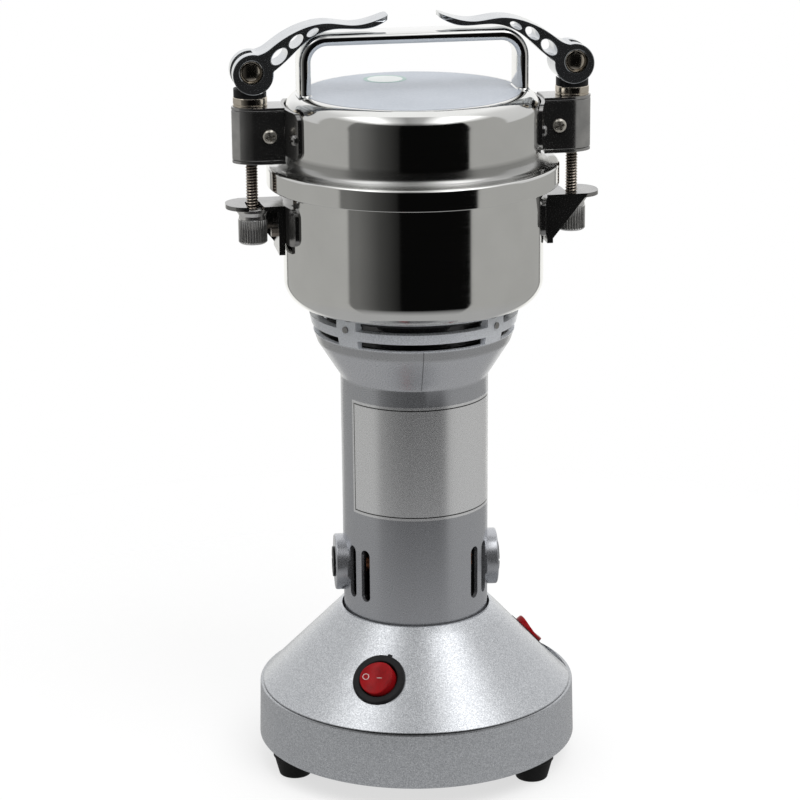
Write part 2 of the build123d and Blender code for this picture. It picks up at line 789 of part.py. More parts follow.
tip_run = (top_blade_reach - top_blade_flat) * cos(radians(top_blade_bend))
tip_rise = (top_blade_reach - top_blade_flat) * sin(radians(top_blade_bend))
with BuildPart() as blade_upper:
    with BuildSketch(Plane.YZ):
        with BuildLine():
            Polyline(
                (-top_blade_flat - tip_run, upper_blade_level + tip_rise),
                (-top_blade_flat, upper_blade_level),
                (top_blade_flat, upper_blade_level),
                (top_blade_flat + tip_run, upper_blade_level + tip_rise),
                (top_blade_flat + tip_run, upper_blade_level + tip_rise + blade_thickness),
                (top_blade_flat, upper_blade_level + blade_thickness),
                (-top_blade_flat, upper_blade_level + blade_thickness),
                (-top_blade_flat - tip_run, upper_blade_level + tip_rise + blade_thickness),
                close=True,
            )
        make_face()
    extrude(amount=blade_width / 2, both=True)
    with BuildSketch(Plane.XY.offset(upper_blade_level)):
        SlotOverall(2 * (top_blade_flat + tip_run), blade_width, rotation=90)
        Circle(blade_bore, mode=Mode.SUBTRACT)
    extrude(amount=tip_rise + 2 * blade_thickness, mode=Mode.INTERSECT)
save(blade_upper.part, "blade_upper")

save(ring(blade_bore, blade_collar_radius, spacer_level, blade_spacer_height), "blade_spacer")

with BuildPart() as blade_nut:
    with BuildSketch(Plane.XY.offset(blade_nut_level)):
        RegularPolygon(nut_across_flats / 2, 6, major_radius=False)
    extrude(amount=nut_height)
    with BuildSketch(Plane.XY.offset(blade_nut_level + nut_height)):
        Circle(nut_across_flats / 2 - blade_land)
    extrude(amount=nut_dome_height)
    fillet(blade_nut.edges().group_by(Axis.Z)[-1], nut_dome_height - blade_land)
    with BuildSketch(Plane.XY.offset(blade_nut_level)):
        Circle(blade_bore)
    extrude(amount=nut_height + blade_land, mode=Mode.SUBTRACT)
save(blade_nut.part, "blade_nut")

# Bowl: a drawn steel pot with an outward flange
bowl_bore = shaft_radius + 2 * moving_gap
with BuildPart() as bowl:
    with BuildSketch(Plane.XZ):
        with BuildLine():
            FilletPolyline(
                (bowl_bore, bowl_level),
                (bowl_radius, bowl_level),
                (bowl_radius, rim_level - sheet),
                (bowl_flange_radius, rim_level - sheet),
                radius=[bowl_round, bowl_flange_round],
            )
            offset(amount=sheet, side=Side.LEFT)
        make_face()
    revolve(axis=Axis.Z)
save(bowl.part, "bowl")

save(ring(shaft_radius + moving_gap, seal_radius, seal_level, seal_height), "shaft_seal")

# Lid: a drawn cap whose turned-down skirt covers the bowl's flange
with BuildPart() as lid:
    with BuildSketch(Plane.XZ):
        with BuildLine():
            lid_outline()
            offset(amount=sheet, side=Side.RIGHT)
        make_face()
    revolve(axis=Axis.Z)
save(lid.part, "lid")

gasket_outer = bowl_flange_radius - seat_gap
save(ring(gasket_outer - gasket_width, gasket_outer, rim_level, gasket_thickness), "lid_gasket")

# Handle: the oval bar, seated on the lid by two small feet
handle_half_span = lid_radius - lid_shoulder
handle_centre = handle_level - handle_thickness / 2
with BuildPart() as handle:
    with BuildLine() as handle_path:
        FilletPolyline(
            (-handle_half_span, 0, lid_level - handle_foot_height),
            (-handle_half_span, 0, handle_centre),
            (handle_half_span, 0, handle_centre),
            (handle_half_span, 0, lid_level - handle_foot_height),
            radius=handle_bend,
        )
    with BuildSketch(Plane.XY.offset(lid_level - handle_foot_height)):
        with Locations((-handle_half_span, 0)):
            RectangleRounded(handle_thickness, handle_width, handle_thickness / 2 - seat_gap)
    sweep(path=handle_path.line)
    with BuildSketch(Plane.XY.offset(lid_level - handle_foot_height)):
        with Locations((-handle_half_span, 0), (handle_half_span, 0)):
            RectangleRounded(handle_foot_width, handle_foot_length, handle_foot_width / 2 - seat_gap)
    extrude(amount=2 * handle_foot_height, taper=handle_foot_taper)
    with BuildSketch(Plane.XZ):
        with BuildLine():
            lid_outline()
            Polyline(
                (lid_flange_radius, lid_flange_level + sheet - lid_skirt_depth),
                (0, lid_flange_level + sheet - lid_skirt_depth),
                (0, lid_level),
            )
        make_face()
    revolve(axis=Axis.Z, mode=Mode.SUBTRACT)
save(handle.part, "handle")

# Clamp saddles: a bent plate on the lid's wall with two cheeks that carry the block
block_middle = block_level + block_height / 2
saddle_level = cove_level + saddle_lift
cheek_outer = block_nose - block_wall - seat_gap
cheek_height = saddle_height - 2 * block_wall
cheek_length = block_screw_x + cheek_margin - lid_radius


def crosswise(x, y, level):
    # A plane square to Y, facing +Y, for the block's screws.
    return Plane(origin=(x, y, level), x_dir=(-1, 0, 0), z_dir=(0, 1, 0))


def saddle_screw_plane(angle, reach):
    start = direction(angle) * reach + Vector(0, 0, block_middle)
    return Plane(origin=start, x_dir=direction(angle + 90), z_dir=direction(angle))


saddle_plate = arc_plate(
    lid_radius, saddle_radius, saddle_half_angle, saddle_level, saddle_height, saddle_corner
)
with BuildPart() as lid_saddle:
    add(saddle_plate)
    with BuildSketch(Plane.XY.offset(block_middle - cheek_height / 2)):
        with Locations((lid_radius + cheek_length / 2, 0)):
            Rectangle(cheek_length, 2 * cheek_outer)
            Rectangle(cheek_length, 2 * (cheek_outer - cheek_wall), mode=Mode.SUBTRACT)
        Circle(lid_radius, mode=Mode.SUBTRACT)
    extrude(amount=cheek_height)
    with BuildSketch(crosswise(block_screw_x, 0, block_middle)):
        Circle(screw_radius + seat_gap)
    extrude(amount=block_nose + overrun, both=True, mode=Mode.SUBTRACT)
    for angle in (-saddle_screw_angle, saddle_screw_angle):
        with BuildSketch(saddle_screw_plane(angle, 0)):
            Circle(screw_radius + seat_gap)
        extrude(amount=saddle_radius + overrun, mode=Mode.SUBTRACT)
save_pair(lid_saddle.part, "lid_saddle")

# Clamp blocks: folded covers, flat sided with a half-round nose, open towards the lid
with BuildPart() as clamp_block:
    with BuildSketch(Plane.XY.offset(block_level)):
        with Locations((clamp_radius, 0)):
            Circle(block_nose)
        with Locations(((clamp_radius + lid_radius) / 2, 0)):
            Rectangle(clamp_radius - lid_radius, 2 * block_nose)
        Circle(saddle_radius, mode=Mode.SUBTRACT)
    extrude(amount=block_height)
    with BuildSketch(Plane.XY.offset(block_level + block_wall)):
        with Locations((clamp_radius, 0)):
            Circle(block_nose - block_wall)
        with Locations(((clamp_radius + lid_radius) / 2, 0)):
            Rectangle(clamp_radius - lid_radius, 2 * (block_nose - block_wall))
    extrude(amount=block_height - 2 * block_wall, mode=Mode.SUBTRACT)
    with BuildSketch(Plane.XY.offset(block_level)):
        with Locations((clamp_radius, 0)):
            Circle(bolt_radius + bolt_gap)
    extrude(amount=block_height, mode=Mode.SUBTRACT)
    with BuildSketch(crosswise(block_screw_x, 0, block_middle)):
        Circle(screw_radius + seat_gap)
    extrude(amount=block_nose + overrun, both=True, mode=Mode.SUBTRACT)
save_pair(clamp_block.part, "clamp_block")


# Pan-head screws, drawn on a plane at the face that the head rests on
def pan_head(plane, shank):
    with BuildPart() as screw:
        with BuildSketch(plane):
            Circle(screw_head_radius)
        extrude(amount=screw_head_height)
        circles = screw.edges().filter_by(GeomType.CIRCLE)
        head_edge = circles.sort_by_distance(plane.origin + plane.z_dir * overrun)[0]
        fillet(head_edge, screw_head_round)
        with BuildSketch(plane):
            Circle(screw_radius)
        extrude(amount=-shank)
    return screw.part


with BuildPart() as clamp_screws:
    for side in (1, -1):
        for face in (1, -1):
            seat = Plane(
                origin=(side * block_screw_x, face * block_nose, block_middle),
                x_dir=(1, 0, 0),
                z_dir=(0, face, 0),
            )
            add(pan_head(seat, block_wall + cheek_wall))
save(clamp_screws.part, "clamp_screws")

with BuildPart() as saddle_screws:
    for side_turn in (0, 180):
        for angle in (-saddle_screw_angle, saddle_screw_angle):
            add(pan_head(saddle_screw_plane(angle + side_turn, saddle_radius), saddle_thickness))
save(saddle_screws.part, "saddle_screws")

# Cam washers and concave seats on top of the blocks
with BuildPart() as cam_washer:
    with BuildSketch(Plane.XY.offset(washer_level)):
        with Locations((clamp_radius, 0)):
            Circle(washer_radius)
    extrude(amount=washer_height)
    chamfer(cam_washer.edges(), washer_chamfer)
    with BuildSketch(Plane.XY.offset(washer_level)):
        with Locations((clamp_radius, 0)):
            Circle(bolt_radius + bolt_gap)
    extrude(amount=washer_height, mode=Mode.SUBTRACT)
save_pair(cam_washer.part, "cam_washer")

cam_offset = cam_throw * cos(radians(cam_angle))
cam_x = clamp_radius - cam_offset
with BuildPart() as cam_seat:
    with BuildSketch(Plane.XY.offset(seat_level)):
        with Locations((clamp_radius, 0)):
            Circle(seat_radius)
            Circle(bolt_radius + bolt_gap, mode=Mode.SUBTRACT)
    extrude(amount=seat_height)
    with BuildSketch(crosswise(cam_x, 0, cam_level + seat_slack)):
        Circle(boss_radius + 2 * seat_slack)
    extrude(amount=seat_radius + overrun, both=True, mode=Mode.SUBTRACT)
save_pair(cam_seat.part, "cam_seat")

# Tension bolts and the barrel pins that they screw into
bolt_low_level = knob_level - knob_height + bolt_end_inset
with BuildPart() as tension_bolt:
    with BuildSketch(Plane.XY.offset(bolt_low_level)):
        with Locations((clamp_radius, 0)):
            Circle(bolt_radius)
    extrude(amount=pivot_level + pin_bolt_bite - bolt_low_level)
    chamfer(tension_bolt.edges().group_by(Axis.Z)[0], bolt_end_chamfer)
save_pair(tension_bolt.part, "tension_bolt")

with BuildPart() as barrel_pin:
    with BuildSketch(crosswise(clamp_radius, 0, pivot_level)):
        Circle(pin_radius)
    extrude(amount=lever_width / 2, both=True)
    with BuildSketch(Plane.XY.offset(pivot_level + pin_bolt_bite)):
        with Locations((clamp_radius, 0)):
            Circle(bolt_radius + seat_gap)
    extrude(amount=-pin_radius - overrun, mode=Mode.SUBTRACT)
save_pair(barrel_pin.part, "barrel_pin")


# Levers: a round cam boss with an arm that rises over the handle, pierced by three slanted holes
def lever_points(shares):
    return [(lever_reach * along, lever_rise * up) for along, up in shares]


lever_plane = crosswise(clamp_radius, 0, pivot_level)
sweep_reach = boss_radius + overrun
slot_start, slot_end = lever_slot_angles
slot_rays = [slot_start + (slot_end - slot_start) * step / 3 for step in range(4)]
with BuildPart() as lever:
    with BuildSketch(lever_plane):
        with BuildLine():
            top = Spline(*lever_points(lever_top_shares))
            under = Spline(*lever_points(lever_under_shares))
            Line(top @ 1, under @ 0)
            Line(under @ 1, top @ 0)
        make_face()
        with Locations((cam_offset, cam_level - pivot_level)):
            Circle(boss_radius)
        lever_holes = zip(lever_points(lever_hole_shares), lever_hole_size_shares, lever_hole_tilts)
        for middle, (length_share, width_share), tilt in lever_holes:
            with Locations(middle):
                Ellipse(lever_hole_length / 2 * length_share, lever_hole_width / 2 * width_share, tilt,
                        mode=Mode.SUBTRACT)
        Circle(pin_radius + running_gap, mode=Mode.SUBTRACT)
    extrude(amount=lever_width / 2, both=True)
    with BuildSketch(lever_plane):
        with BuildLine():
            Polyline((0, 0), *[tuple(sweep_reach * direction(ray))[:2] for ray in slot_rays], close=True)
        make_face()
    extrude(amount=bolt_radius + bolt_gap, both=True, mode=Mode.SUBTRACT)
    with BuildSketch(Plane.XY.offset(pivot_level - sweep_reach)):
        with BuildLine():
            FilletPolyline(
                (clamp_radius + sweep_reach, lever_width / 2),
                (clamp_radius - boss_radius, lever_width / 2),
                (clamp_radius - lever_reach, lever_tip_width / 2),
                (clamp_radius - lever_reach, -lever_tip_width / 2),
                (clamp_radius - boss_radius, -lever_width / 2),
                (clamp_radius + sweep_reach, -lever_width / 2),
                radius=[0, 0, lever_tip_round, lever_tip_round, 0, 0],
                close=True,
            )
        make_face()
    extrude(amount=lever_rise + 2 * sweep_reach, mode=Mode.INTERSECT)
save_pair(lever.part, "lever")

# Knurled nuts under the catch plates
knob_section = Plane(
    origin=(clamp_radius, 0, knob_level - knob_height), x_dir=(1, 0, 0), z_dir=(0, -1, 0)
)
with BuildPart() as clamp_nut:
    with BuildSketch(knob_section):
        with BuildLine():
            Polyline(
                (bolt_radius + running_gap, 0),
                (knob_radius - knob_chamfer, 0),
                (knob_radius, knob_chamfer),
                (knob_radius, knob_height - knob_collar_height - knob_neck_height),
                (knob_neck_radius, knob_height - knob_collar_height - knob_neck_height),
                (knob_neck_radius, knob_height - knob_collar_height),
                (knob_collar_radius, knob_height - knob_collar_height / 2),
                (knob_collar_radius, knob_height),
                (bolt_radius + running_gap, knob_height),
                close=True,
            )
        make_face()
    revolve(axis=Axis((clamp_radius, 0, 0), (0, 0, 1)))
save_pair(clamp_nut.part, "clamp_nut")

# Catch brackets: a tab bent to the bowl, an upright flange, a slotted plate and one gusset
catch_flange_x = bowl_radius + saddle_thickness / 2
catch_outer_x = catch_flange_x + catch_plate_thickness + saddle_thickness / 2
catch_tab_level = catch_level - catch_tab_height
catch_gusset_reach = (catch_plate_reach - catch_outer_x) * catch_gusset_share
catch_tab = arc_plate(
    bowl_radius, catch_tab_radius, catch_tab_half_angle, catch_tab_level, catch_tab_height, saddle_corner
)
catch_bolt_level = catch_level - catch_bolt_drop
slot_radius = bolt_radius + catch_slot_gap
slot_sweep = 2 * degrees(atan2(catch_plate_half_width, clamp_radius))
with BuildPart() as catch_bracket:
    add(catch_tab)
    with BuildSketch(Plane.XY.offset(catch_level)) as catch_top:
        with Locations(((catch_flange_x + catch_plate_reach) / 2, 0)):
            Rectangle(catch_plate_reach - catch_flange_x, 2 * catch_plate_half_width)
        fillet(catch_top.vertices().group_by(Axis.X)[-1], catch_plate_corner)
    extrude(amount=-catch_plate_thickness)
    with BuildSketch(Plane.XY.offset(catch_level)):
        with Locations(((catch_flange_x + catch_outer_x) / 2, 0)):
            Rectangle(catch_outer_x - catch_flange_x, 2 * catch_plate_half_width)
    extrude(amount=-catch_flange_height)
    with BuildSketch(Plane.XZ.offset(catch_plate_half_width)):
        with BuildLine():
            Polyline(
                (catch_flange_x, catch_level),
                (catch_outer_x + catch_gusset_reach, catch_level),
                (catch_outer_x, catch_level - catch_gusset_height),
                (catch_flange_x, catch_level - catch_gusset_height),
                close=True,
            )
        make_face()
    extrude(amount=-catch_plate_thickness)
    with BuildSketch(Plane.XY.offset(catch_level)):
        with Locations((clamp_radius, 0)):
            Circle(slot_radius)
        with BuildLine():
            far = CenterArc((0, 0), clamp_radius + slot_radius, 0, slot_sweep)
            near = CenterArc((0, 0), clamp_radius - slot_radius, 0, slot_sweep)
            Line(far @ 0, near @ 0)
            Line(far @ 1, near @ 1)
        make_face()
    extrude(amount=-catch_plate_thickness, mode=Mode.SUBTRACT)
    with BuildSketch(Plane.YZ.offset(catch_outer_x)):
        with Locations((0, catch_bolt_level)):
            Circle(screw_radius + seat_gap)
    extrude(amount=-overrun, mode=Mode.SUBTRACT)
    with BuildSketch(Plane.XY.offset(catch_level)):
        Circle(bowl_radius)
    extrude(amount=-catch_flange_height, mode=Mode.SUBTRACT)
save_pair(catch_bracket.part, "catch_bracket")

with BuildPart() as bracket_bolts:
    for outward in (1, -1):
        head_centre = (outward * catch_outer_x, 0, catch_bolt_level)
        head_plane = Plane(head_centre, x_dir=(0, outward, 0), z_dir=(outward, 0, 0))
        with BuildSketch(head_plane):
            RegularPolygon(catch_bolt_radius, 6)
        extrude(amount=catch_bolt_head)
        with BuildSketch(head_plane):
            Circle(screw_radius)
        extrude(amount=-catch_plate_thickness)
save(bracket_bolts.part, "bracket_bolts")


# Switches: a round body whose bezel sits on the cone, and a rocker on two trunnions
def switch_depth(plane):
    # The way along the plane's normal to the motor tube, times the share that the switch takes of it.
    reach = hypot(plane.origin.X, plane.origin.Y) - tube_radius
    return reach / hypot(plane.z_dir.X, plane.z_dir.Y) * switch_depth_share


def switch_body(plane, bezel_radius, bezel_height, hole_radius, rocker_radius):
    with BuildPart() as body:
        with BuildSketch(plane):
            Circle(bezel_radius)
        extrude(amount=bezel_height)
        circles = body.edges().filter_by(GeomType.CIRCLE)
        bezel_edge = circles.sort_by_distance(plane.origin + plane.z_dir * overrun)[0]
        fillet(bezel_edge, bezel_height / 2)
        with BuildSketch(plane):
            Circle(hole_radius)
        extrude(amount=-switch_depth(plane))
        with BuildSketch(plane.offset(bezel_height)):
            Circle(rocker_radius + rocker_gap)
        cavity_depth = switch_depth(plane) * switch_cavity_share
        extrude(amount=-bezel_height - cavity_depth, mode=Mode.SUBTRACT)
        with BuildSketch(Plane(plane.origin, x_dir=plane.x_dir, z_dir=plane.y_dir)):
            Circle(trunnion_radius + running_gap)
        extrude(amount=rocker_radius + rocker_gap + trunnion_bite + seat_gap, both=True, mode=Mode.SUBTRACT)
    return body.part


def rocker(plane, radius, bezel_height):
    # The rocker tips about its plane's Y axis, and is drawn with its -X end pressed.
    tipped = tipped_plane(plane, rocker_tilt)
    depth = switch_depth(plane) * switch_cavity_share * rocker_depth_share
    side_view = Plane(tipped.origin, x_dir=tipped.x_dir, z_dir=-tipped.y_dir)
    with BuildPart() as piece:
        with BuildSketch(side_view):
            with BuildLine():
                crown = ThreePointArc(
                    (-radius, bezel_height + rocker_horn),
                    (0, bezel_height + rocker_waist),
                    (radius, bezel_height + rocker_horn),
                )
                Polyline(crown @ 1, (radius, -depth), (-radius, -depth), crown @ 0)
            make_face()
        extrude(amount=radius, both=True)
        with BuildSketch(tipped):
            Circle(radius)
        extrude(amount=bezel_height + rocker_horn + depth, both=True, mode=Mode.INTERSECT)
        with BuildSketch(side_view):
            Circle(trunnion_radius)
        extrude(amount=radius + rocker_gap + trunnion_bite, both=True)
    return piece.part


front_sizes = (front_bezel_radius, front_bezel_height, front_hole_radius, front_rocker_radius)
side_sizes = (side_bezel_radius, side_bezel_height, side_hole_radius, side_rocker_radius)
save(switch_body(front_plane, *front_sizes), "front_switch_body")
save(switch_body(side_plane, *side_sizes), "side_switch_body")
save(rocker(front_plane, front_rocker_radius, front_bezel_height), "front_rocker")
save(rocker(side_plane, side_rocker_radius, side_bezel_height), "side_rocker")
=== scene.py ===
import json
import math

import bmesh
import bpy
import numpy as np
from mathutils import Matrix


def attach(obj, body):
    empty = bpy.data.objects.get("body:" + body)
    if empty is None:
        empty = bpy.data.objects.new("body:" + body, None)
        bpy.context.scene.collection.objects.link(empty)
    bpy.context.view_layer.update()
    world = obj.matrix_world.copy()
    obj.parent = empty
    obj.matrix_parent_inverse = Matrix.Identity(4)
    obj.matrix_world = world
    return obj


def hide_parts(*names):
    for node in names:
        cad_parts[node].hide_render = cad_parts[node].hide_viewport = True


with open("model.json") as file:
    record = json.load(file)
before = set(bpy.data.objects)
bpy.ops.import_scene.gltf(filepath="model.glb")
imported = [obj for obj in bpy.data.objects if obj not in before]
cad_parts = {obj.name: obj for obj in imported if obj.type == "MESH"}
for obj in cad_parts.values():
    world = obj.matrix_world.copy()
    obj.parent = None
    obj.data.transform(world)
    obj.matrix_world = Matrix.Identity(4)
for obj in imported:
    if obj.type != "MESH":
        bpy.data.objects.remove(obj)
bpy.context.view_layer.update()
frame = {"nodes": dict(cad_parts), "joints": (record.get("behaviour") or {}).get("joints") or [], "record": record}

scene = bpy.context.scene
nodes = frame["nodes"]
jointOf = {joint["name"]: joint for joint in frame["joints"]}
bodyOf = {node: body for body, group in frame["record"]["behaviour"]["bodies"].items() for node in group}
slotOf = {part["node"]: part["material_slot"] for part in frame["record"]["subparts"]}
dressed = set()
sides = (("Left", -1), ("Right", 1))
bodyTurn = math.radians(-4.1)  # of the tube's seam and label, from the front
coneSlope, facetSlope = 45.34, 48.34  # degrees, of the base's cone and of the side switch's facet
print("frame loaded,", len(nodes), "nodes")


def unit(vector):
    # the vector over its own length
    return np.asarray(vector, float) / np.linalg.norm(vector)


def around(steps):
    # a full turn in equal angles
    return np.linspace(0, 2 * math.pi, steps, endpoint=False)


def rays(angle):
    # the cosine and sine of each angle
    return np.stack([np.cos(angle), np.sin(angle)], 1)


def pick(look, names):
    # the look's values under the names, in their order
    return [look[name] for name in names.split()]


def placeAt(origin, xDir, zDir):
    # the 4 x 4 placement whose columns are X, Y = Z cross X, Z and the origin
    place = np.eye(4)
    place[:3, 0], place[:3, 2], place[:3, 3] = unit(xDir), unit(zDir), origin
    place[:3, 1] = np.cross(place[:3, 2], place[:3, 0])
    return place


# materials

def setSockets(tree, node, inputs):
    # each socket is linked or set from the dictionary
    for key, value in inputs.items():
        if isinstance(value, bpy.types.NodeSocket):
            tree.links.new(value, node.inputs[key])
        else:
            node.inputs[key].default_value = value


def addNode(tree, kind, inputs=None, **settings):
    # one shader node with its settings and sockets
    node = tree.nodes.new("ShaderNode" + kind)
    for key, value in settings.items():
        setattr(node, key, value)
    setSockets(tree, node, inputs or {})
    return node


def calc(tree, operation, *values):
    # one number from the values, in the order of the sockets
    return addNode(tree, "Math", dict(enumerate(values)), operation=operation).outputs[0]


def vectorCalc(tree, operation, *values):
    # one vector from the values, or the number that a length or a dot product gives
    node = addNode(tree, "VectorMath", dict(enumerate(values)), operation=operation)
    return node.outputs["Value" if operation in ("LENGTH", "DOT_PRODUCT") else "Vector"]


def dimmed(tree, colour, share):
    # the colour times the share
    return addNode(tree, "VectorMath", {0: colour, "Scale": share}, operation="SCALE").outputs[0]


def mixed(tree, share, first, second, blend="MIX"):
    # the first colour blended with the second by the share
    return addNode(tree, "Mix", {0: share, 6: first, 7: second}, data_type="RGBA",
                   blend_type=blend).outputs[2]


def ownPlace(tree):
    # the place on the piece, in metres
    return addNode(tree, "TexCoord").outputs["Object"]


def parted(tree, vector):
    # the vector's x, y and z
    return addNode(tree, "SeparateXYZ", {"Vector": vector}).outputs


def levelled(tree, vector):
    # the vector with z set to zero
    return vectorCalc(tree, "MULTIPLY", vector, (1, 1, 0))


def newFinish(name):
    # a material with its node tree and its one shader
    finish = bpy.data.materials.new(name)
    finish.use_nodes = True
    tree = finish.node_tree
    return finish, tree, tree.nodes["Principled BSDF"]


def noiseField(tree, scale, stretch=(1, 1, 1), detail=3.0):
    # noise over the piece's own metres: lumps of 1/scale, drawn out along the axes by the stretch
    spread = addNode(tree, "Mapping", {"Vector": ownPlace(tree), "Scale": stretch})
    noise = addNode(tree, "TexNoise", {"Vector": spread.outputs[0], "Scale": scale, "Detail": detail})
    return noise.outputs["Fac"]


def between(tree, field, low, high, span=(0.3, 0.7)):
    # the field's span mapped straight on low..high
    return addNode(tree, "MapRange", {
        "Value": field, "From Min": span[0], "From Max": span[1], "To Min": low, "To Max": high}).outputs[0]


def shade(tree, field, stops):
    # colour along the field, straight between the stops
    ramp = addNode(tree, "ValToRGB", {"Fac": field})
    marks = ramp.color_ramp.elements
    for index, (place, colour) in enumerate(stops):
        mark = marks[index] if index < 2 else marks.new(place)
        mark.position = place
        mark.color = (*colour, 1)
    return ramp.outputs["Color"]


def drifted(tree, field, colours):
    # from the first colour to the second over the noise's usual span
    return shade(tree, field, ((0.3, colours[0]), (0.7, colours[1])))


def lift(tree, shader, field, height):
    # the field raises the surface by up to the height in metres
    bump = addNode(tree, "Bump", {"Height": field, "Distance": height, "Strength": 1.0})
    tree.links.new(bump.outputs[0], shader.inputs["Normal"])


def surfaceFinish(name, look):
    # colour drifts along coarse noise, roughness along grain noise, and the grain lifts the surface
    finish, tree, shader = newFinish(name)
    grain = noiseField(tree, look["grain"], look.get("stretch", (1, 1, 1)))
    colour = drifted(tree, noiseField(tree, look["patch"]), look["colour"])
    rough = between(tree, grain, *look["rough"])
    if "dullShadedBelt" in look:  # a rougher belt with painted shade (a darker colour) in the lid flange's cove, rising and falling over two spans of height
        dullShadedBelt = look["dullShadedBelt"]
        height = parted(tree, ownPlace(tree))[2]
        belt = calc(tree, "MINIMUM", between(tree, height, 0, dullShadedBelt["dull"], span=dullShadedBelt["rise"]),
                    between(tree, height, dullShadedBelt["dull"], 0, span=dullShadedBelt["fall"]))
        rough = calc(tree, "MAXIMUM", rough, belt)
        # painted shade: the colour darkens across the belt
        colour = dimmed(tree, colour, between(tree, belt, 1, dullShadedBelt["tone"], span=(0, dullShadedBelt["dull"])))
    if "roots" in look:  # painted shade in the thread roots: dark near the bolts' axes, bright from the end of the span
        roots = look["roots"]
        folded = vectorCalc(tree, "ABSOLUTE", ownPlace(tree))
        offset = vectorCalc(tree, "SUBTRACT", folded, (roots["clampX"], 0, 0))
        reach = vectorCalc(tree, "LENGTH", levelled(tree, offset))
        colour = dimmed(tree, colour, between(tree, reach, roots["dark"], 1, span=roots["span"]))
    setSockets(tree, shader, {"Base Color": colour, "Roughness": rough, "Metallic": look.get("metal", 1.0),
                              "Specular IOR Level": look.get("gloss", 0.5)})
    lift(tree, shader, grain, look["lift"])
    return finish


# patch and grain are lumps per metre, lift is in metres; a row ends where the defaults begin
finishKeys = ("colour", "rough", "patch", "grain", "lift", "metal", "gloss", "stretch")
finishRows = {
    "mirrorSteel": (((0.74, 0.74, 0.725), (0.82, 0.82, 0.805)), (0.05, 0.1), 30, 160, 2e-6, 1, 0.5, (0.4, 0.4, 9)),
    "handleSteel": (((0.78, 0.78, 0.77), (0.84, 0.84, 0.83)), (0.06, 0.1), 60, 900, 1e-6),
    "plateSteel": (((0.25, 0.25, 0.25), (0.34, 0.335, 0.33)), (0.11, 0.19), 120, 500, 6e-7, 0.97, 0.5, (1, 1, 6)),
    "screwNickel": (((0.56, 0.53, 0.48), (0.66, 0.63, 0.57)), (0.18, 0.28), 300, 2400, 1e-6, 0.85),
    "leverChrome": (((0.48, 0.5, 0.53), (0.58, 0.6, 0.62)), (0.08, 0.18), 150, 2600, 4e-6, 0.96),
    "warmNickel": (((0.56, 0.5, 0.42), (0.7, 0.64, 0.55)), (0.12, 0.22), 200, 900, 2e-6, 1, 0.5, (1, 1, 8)),
    "darkNickel": (((0.32, 0.28, 0.24), (0.46, 0.41, 0.36)), (0.2, 0.32), 260, 1600, 1e-6, 0.92),
    "threadNickel": (((0.5, 0.43, 0.36), (0.66, 0.58, 0.5)), (0.16, 0.26), 260, 1600, 6e-7, 0.95),
    "nutSteel": (((0.68, 0.68, 0.68), (0.84, 0.83, 0.81)), (0.14, 0.22), 260, 1800, 6e-7, 0.93),
    "blackRubber": (((0.007, 0.007, 0.007), (0.014, 0.014, 0.014)), (0.5, 0.72), 120, 2200, 2e-5, 0, 0.2),
    "blackPlastic": (((0.01, 0.01, 0.011), (0.018, 0.018, 0.019)), (0.3, 0.44), 150, 3600, 4e-6, 0, 0.12),
    "redPlastic": (((0.2, 0.004, 0.006), (0.36, 0.008, 0.011)), (0.16, 0.28), 180, 1500, 3e-6, 0, 0.12),
    "paleMark": (((0.62, 0.5, 0.48), (0.74, 0.62, 0.6)), (0.3, 0.42), 500, 2500, 2e-6, 0),
    "lidFilm": (((0.43, 0.47, 0.53), (0.48, 0.52, 0.585)), (0.3, 0.42), 40, 700, 4e-6, 0),
    "stickerWhite": (((0.74, 0.78, 0.77), (0.82, 0.85, 0.84)), (0.35, 0.45), 120, 1500, 2e-6, 0),
    "stickerGreen": (((0.3, 0.46, 0.42), (0.42, 0.57, 0.53)), (0.35, 0.45), 300, 1500, 2e-6, 0),
    "darkSheet": (((0.022, 0.022, 0.023), (0.04, 0.04, 0.04)), (0.45, 0.6), 60, 1500, 1e-5, 0.3),
    "machinedSteel": (((0.46, 0.46, 0.46), (0.58, 0.58, 0.57)), (0.2, 0.34), 80, 1800, 4e-6, 1, 0.5, (1, 1, 5)),
    "copperWire": (((0.5, 0.2, 0.1), (0.68, 0.3, 0.16)), (0.22, 0.36), 200, 2400, 3e-5, 1, 0.5, (1, 1, 0.1)),
    "sealRubber": (((0.42, 0.42, 0.4), (0.52, 0.52, 0.5)), (0.5, 0.66), 90, 1600, 1e-5, 0),
}
finishLooks = {name: dict(zip(finishKeys, row)) for name, row in finishRows.items()}
# painted shade in the thread roots of both bolts
finishLooks["threadNickel"]["roots"] = {"clampX": 0.0686, "span": (0.0022, 0.0026), "dark": 0.06}
# the lid's steel, with painted shade and a duller finish in the flange's cove
finishLooks["lidSteel"] = finishLooks["mirrorSteel"] | {
    "dullShadedBelt": {"rise": (0.2681, 0.2685), "fall": (0.2735, 0.2755), "dull": 0.24, "tone": 0.6}}
finishLooks["blockSteel"] = finishLooks["plateSteel"] | {"colour": ((0.35, 0.35, 0.35), (0.48, 0.475, 0.47))}
finishes = {name: surfaceFinish(name, look) for name, look in finishLooks.items()}


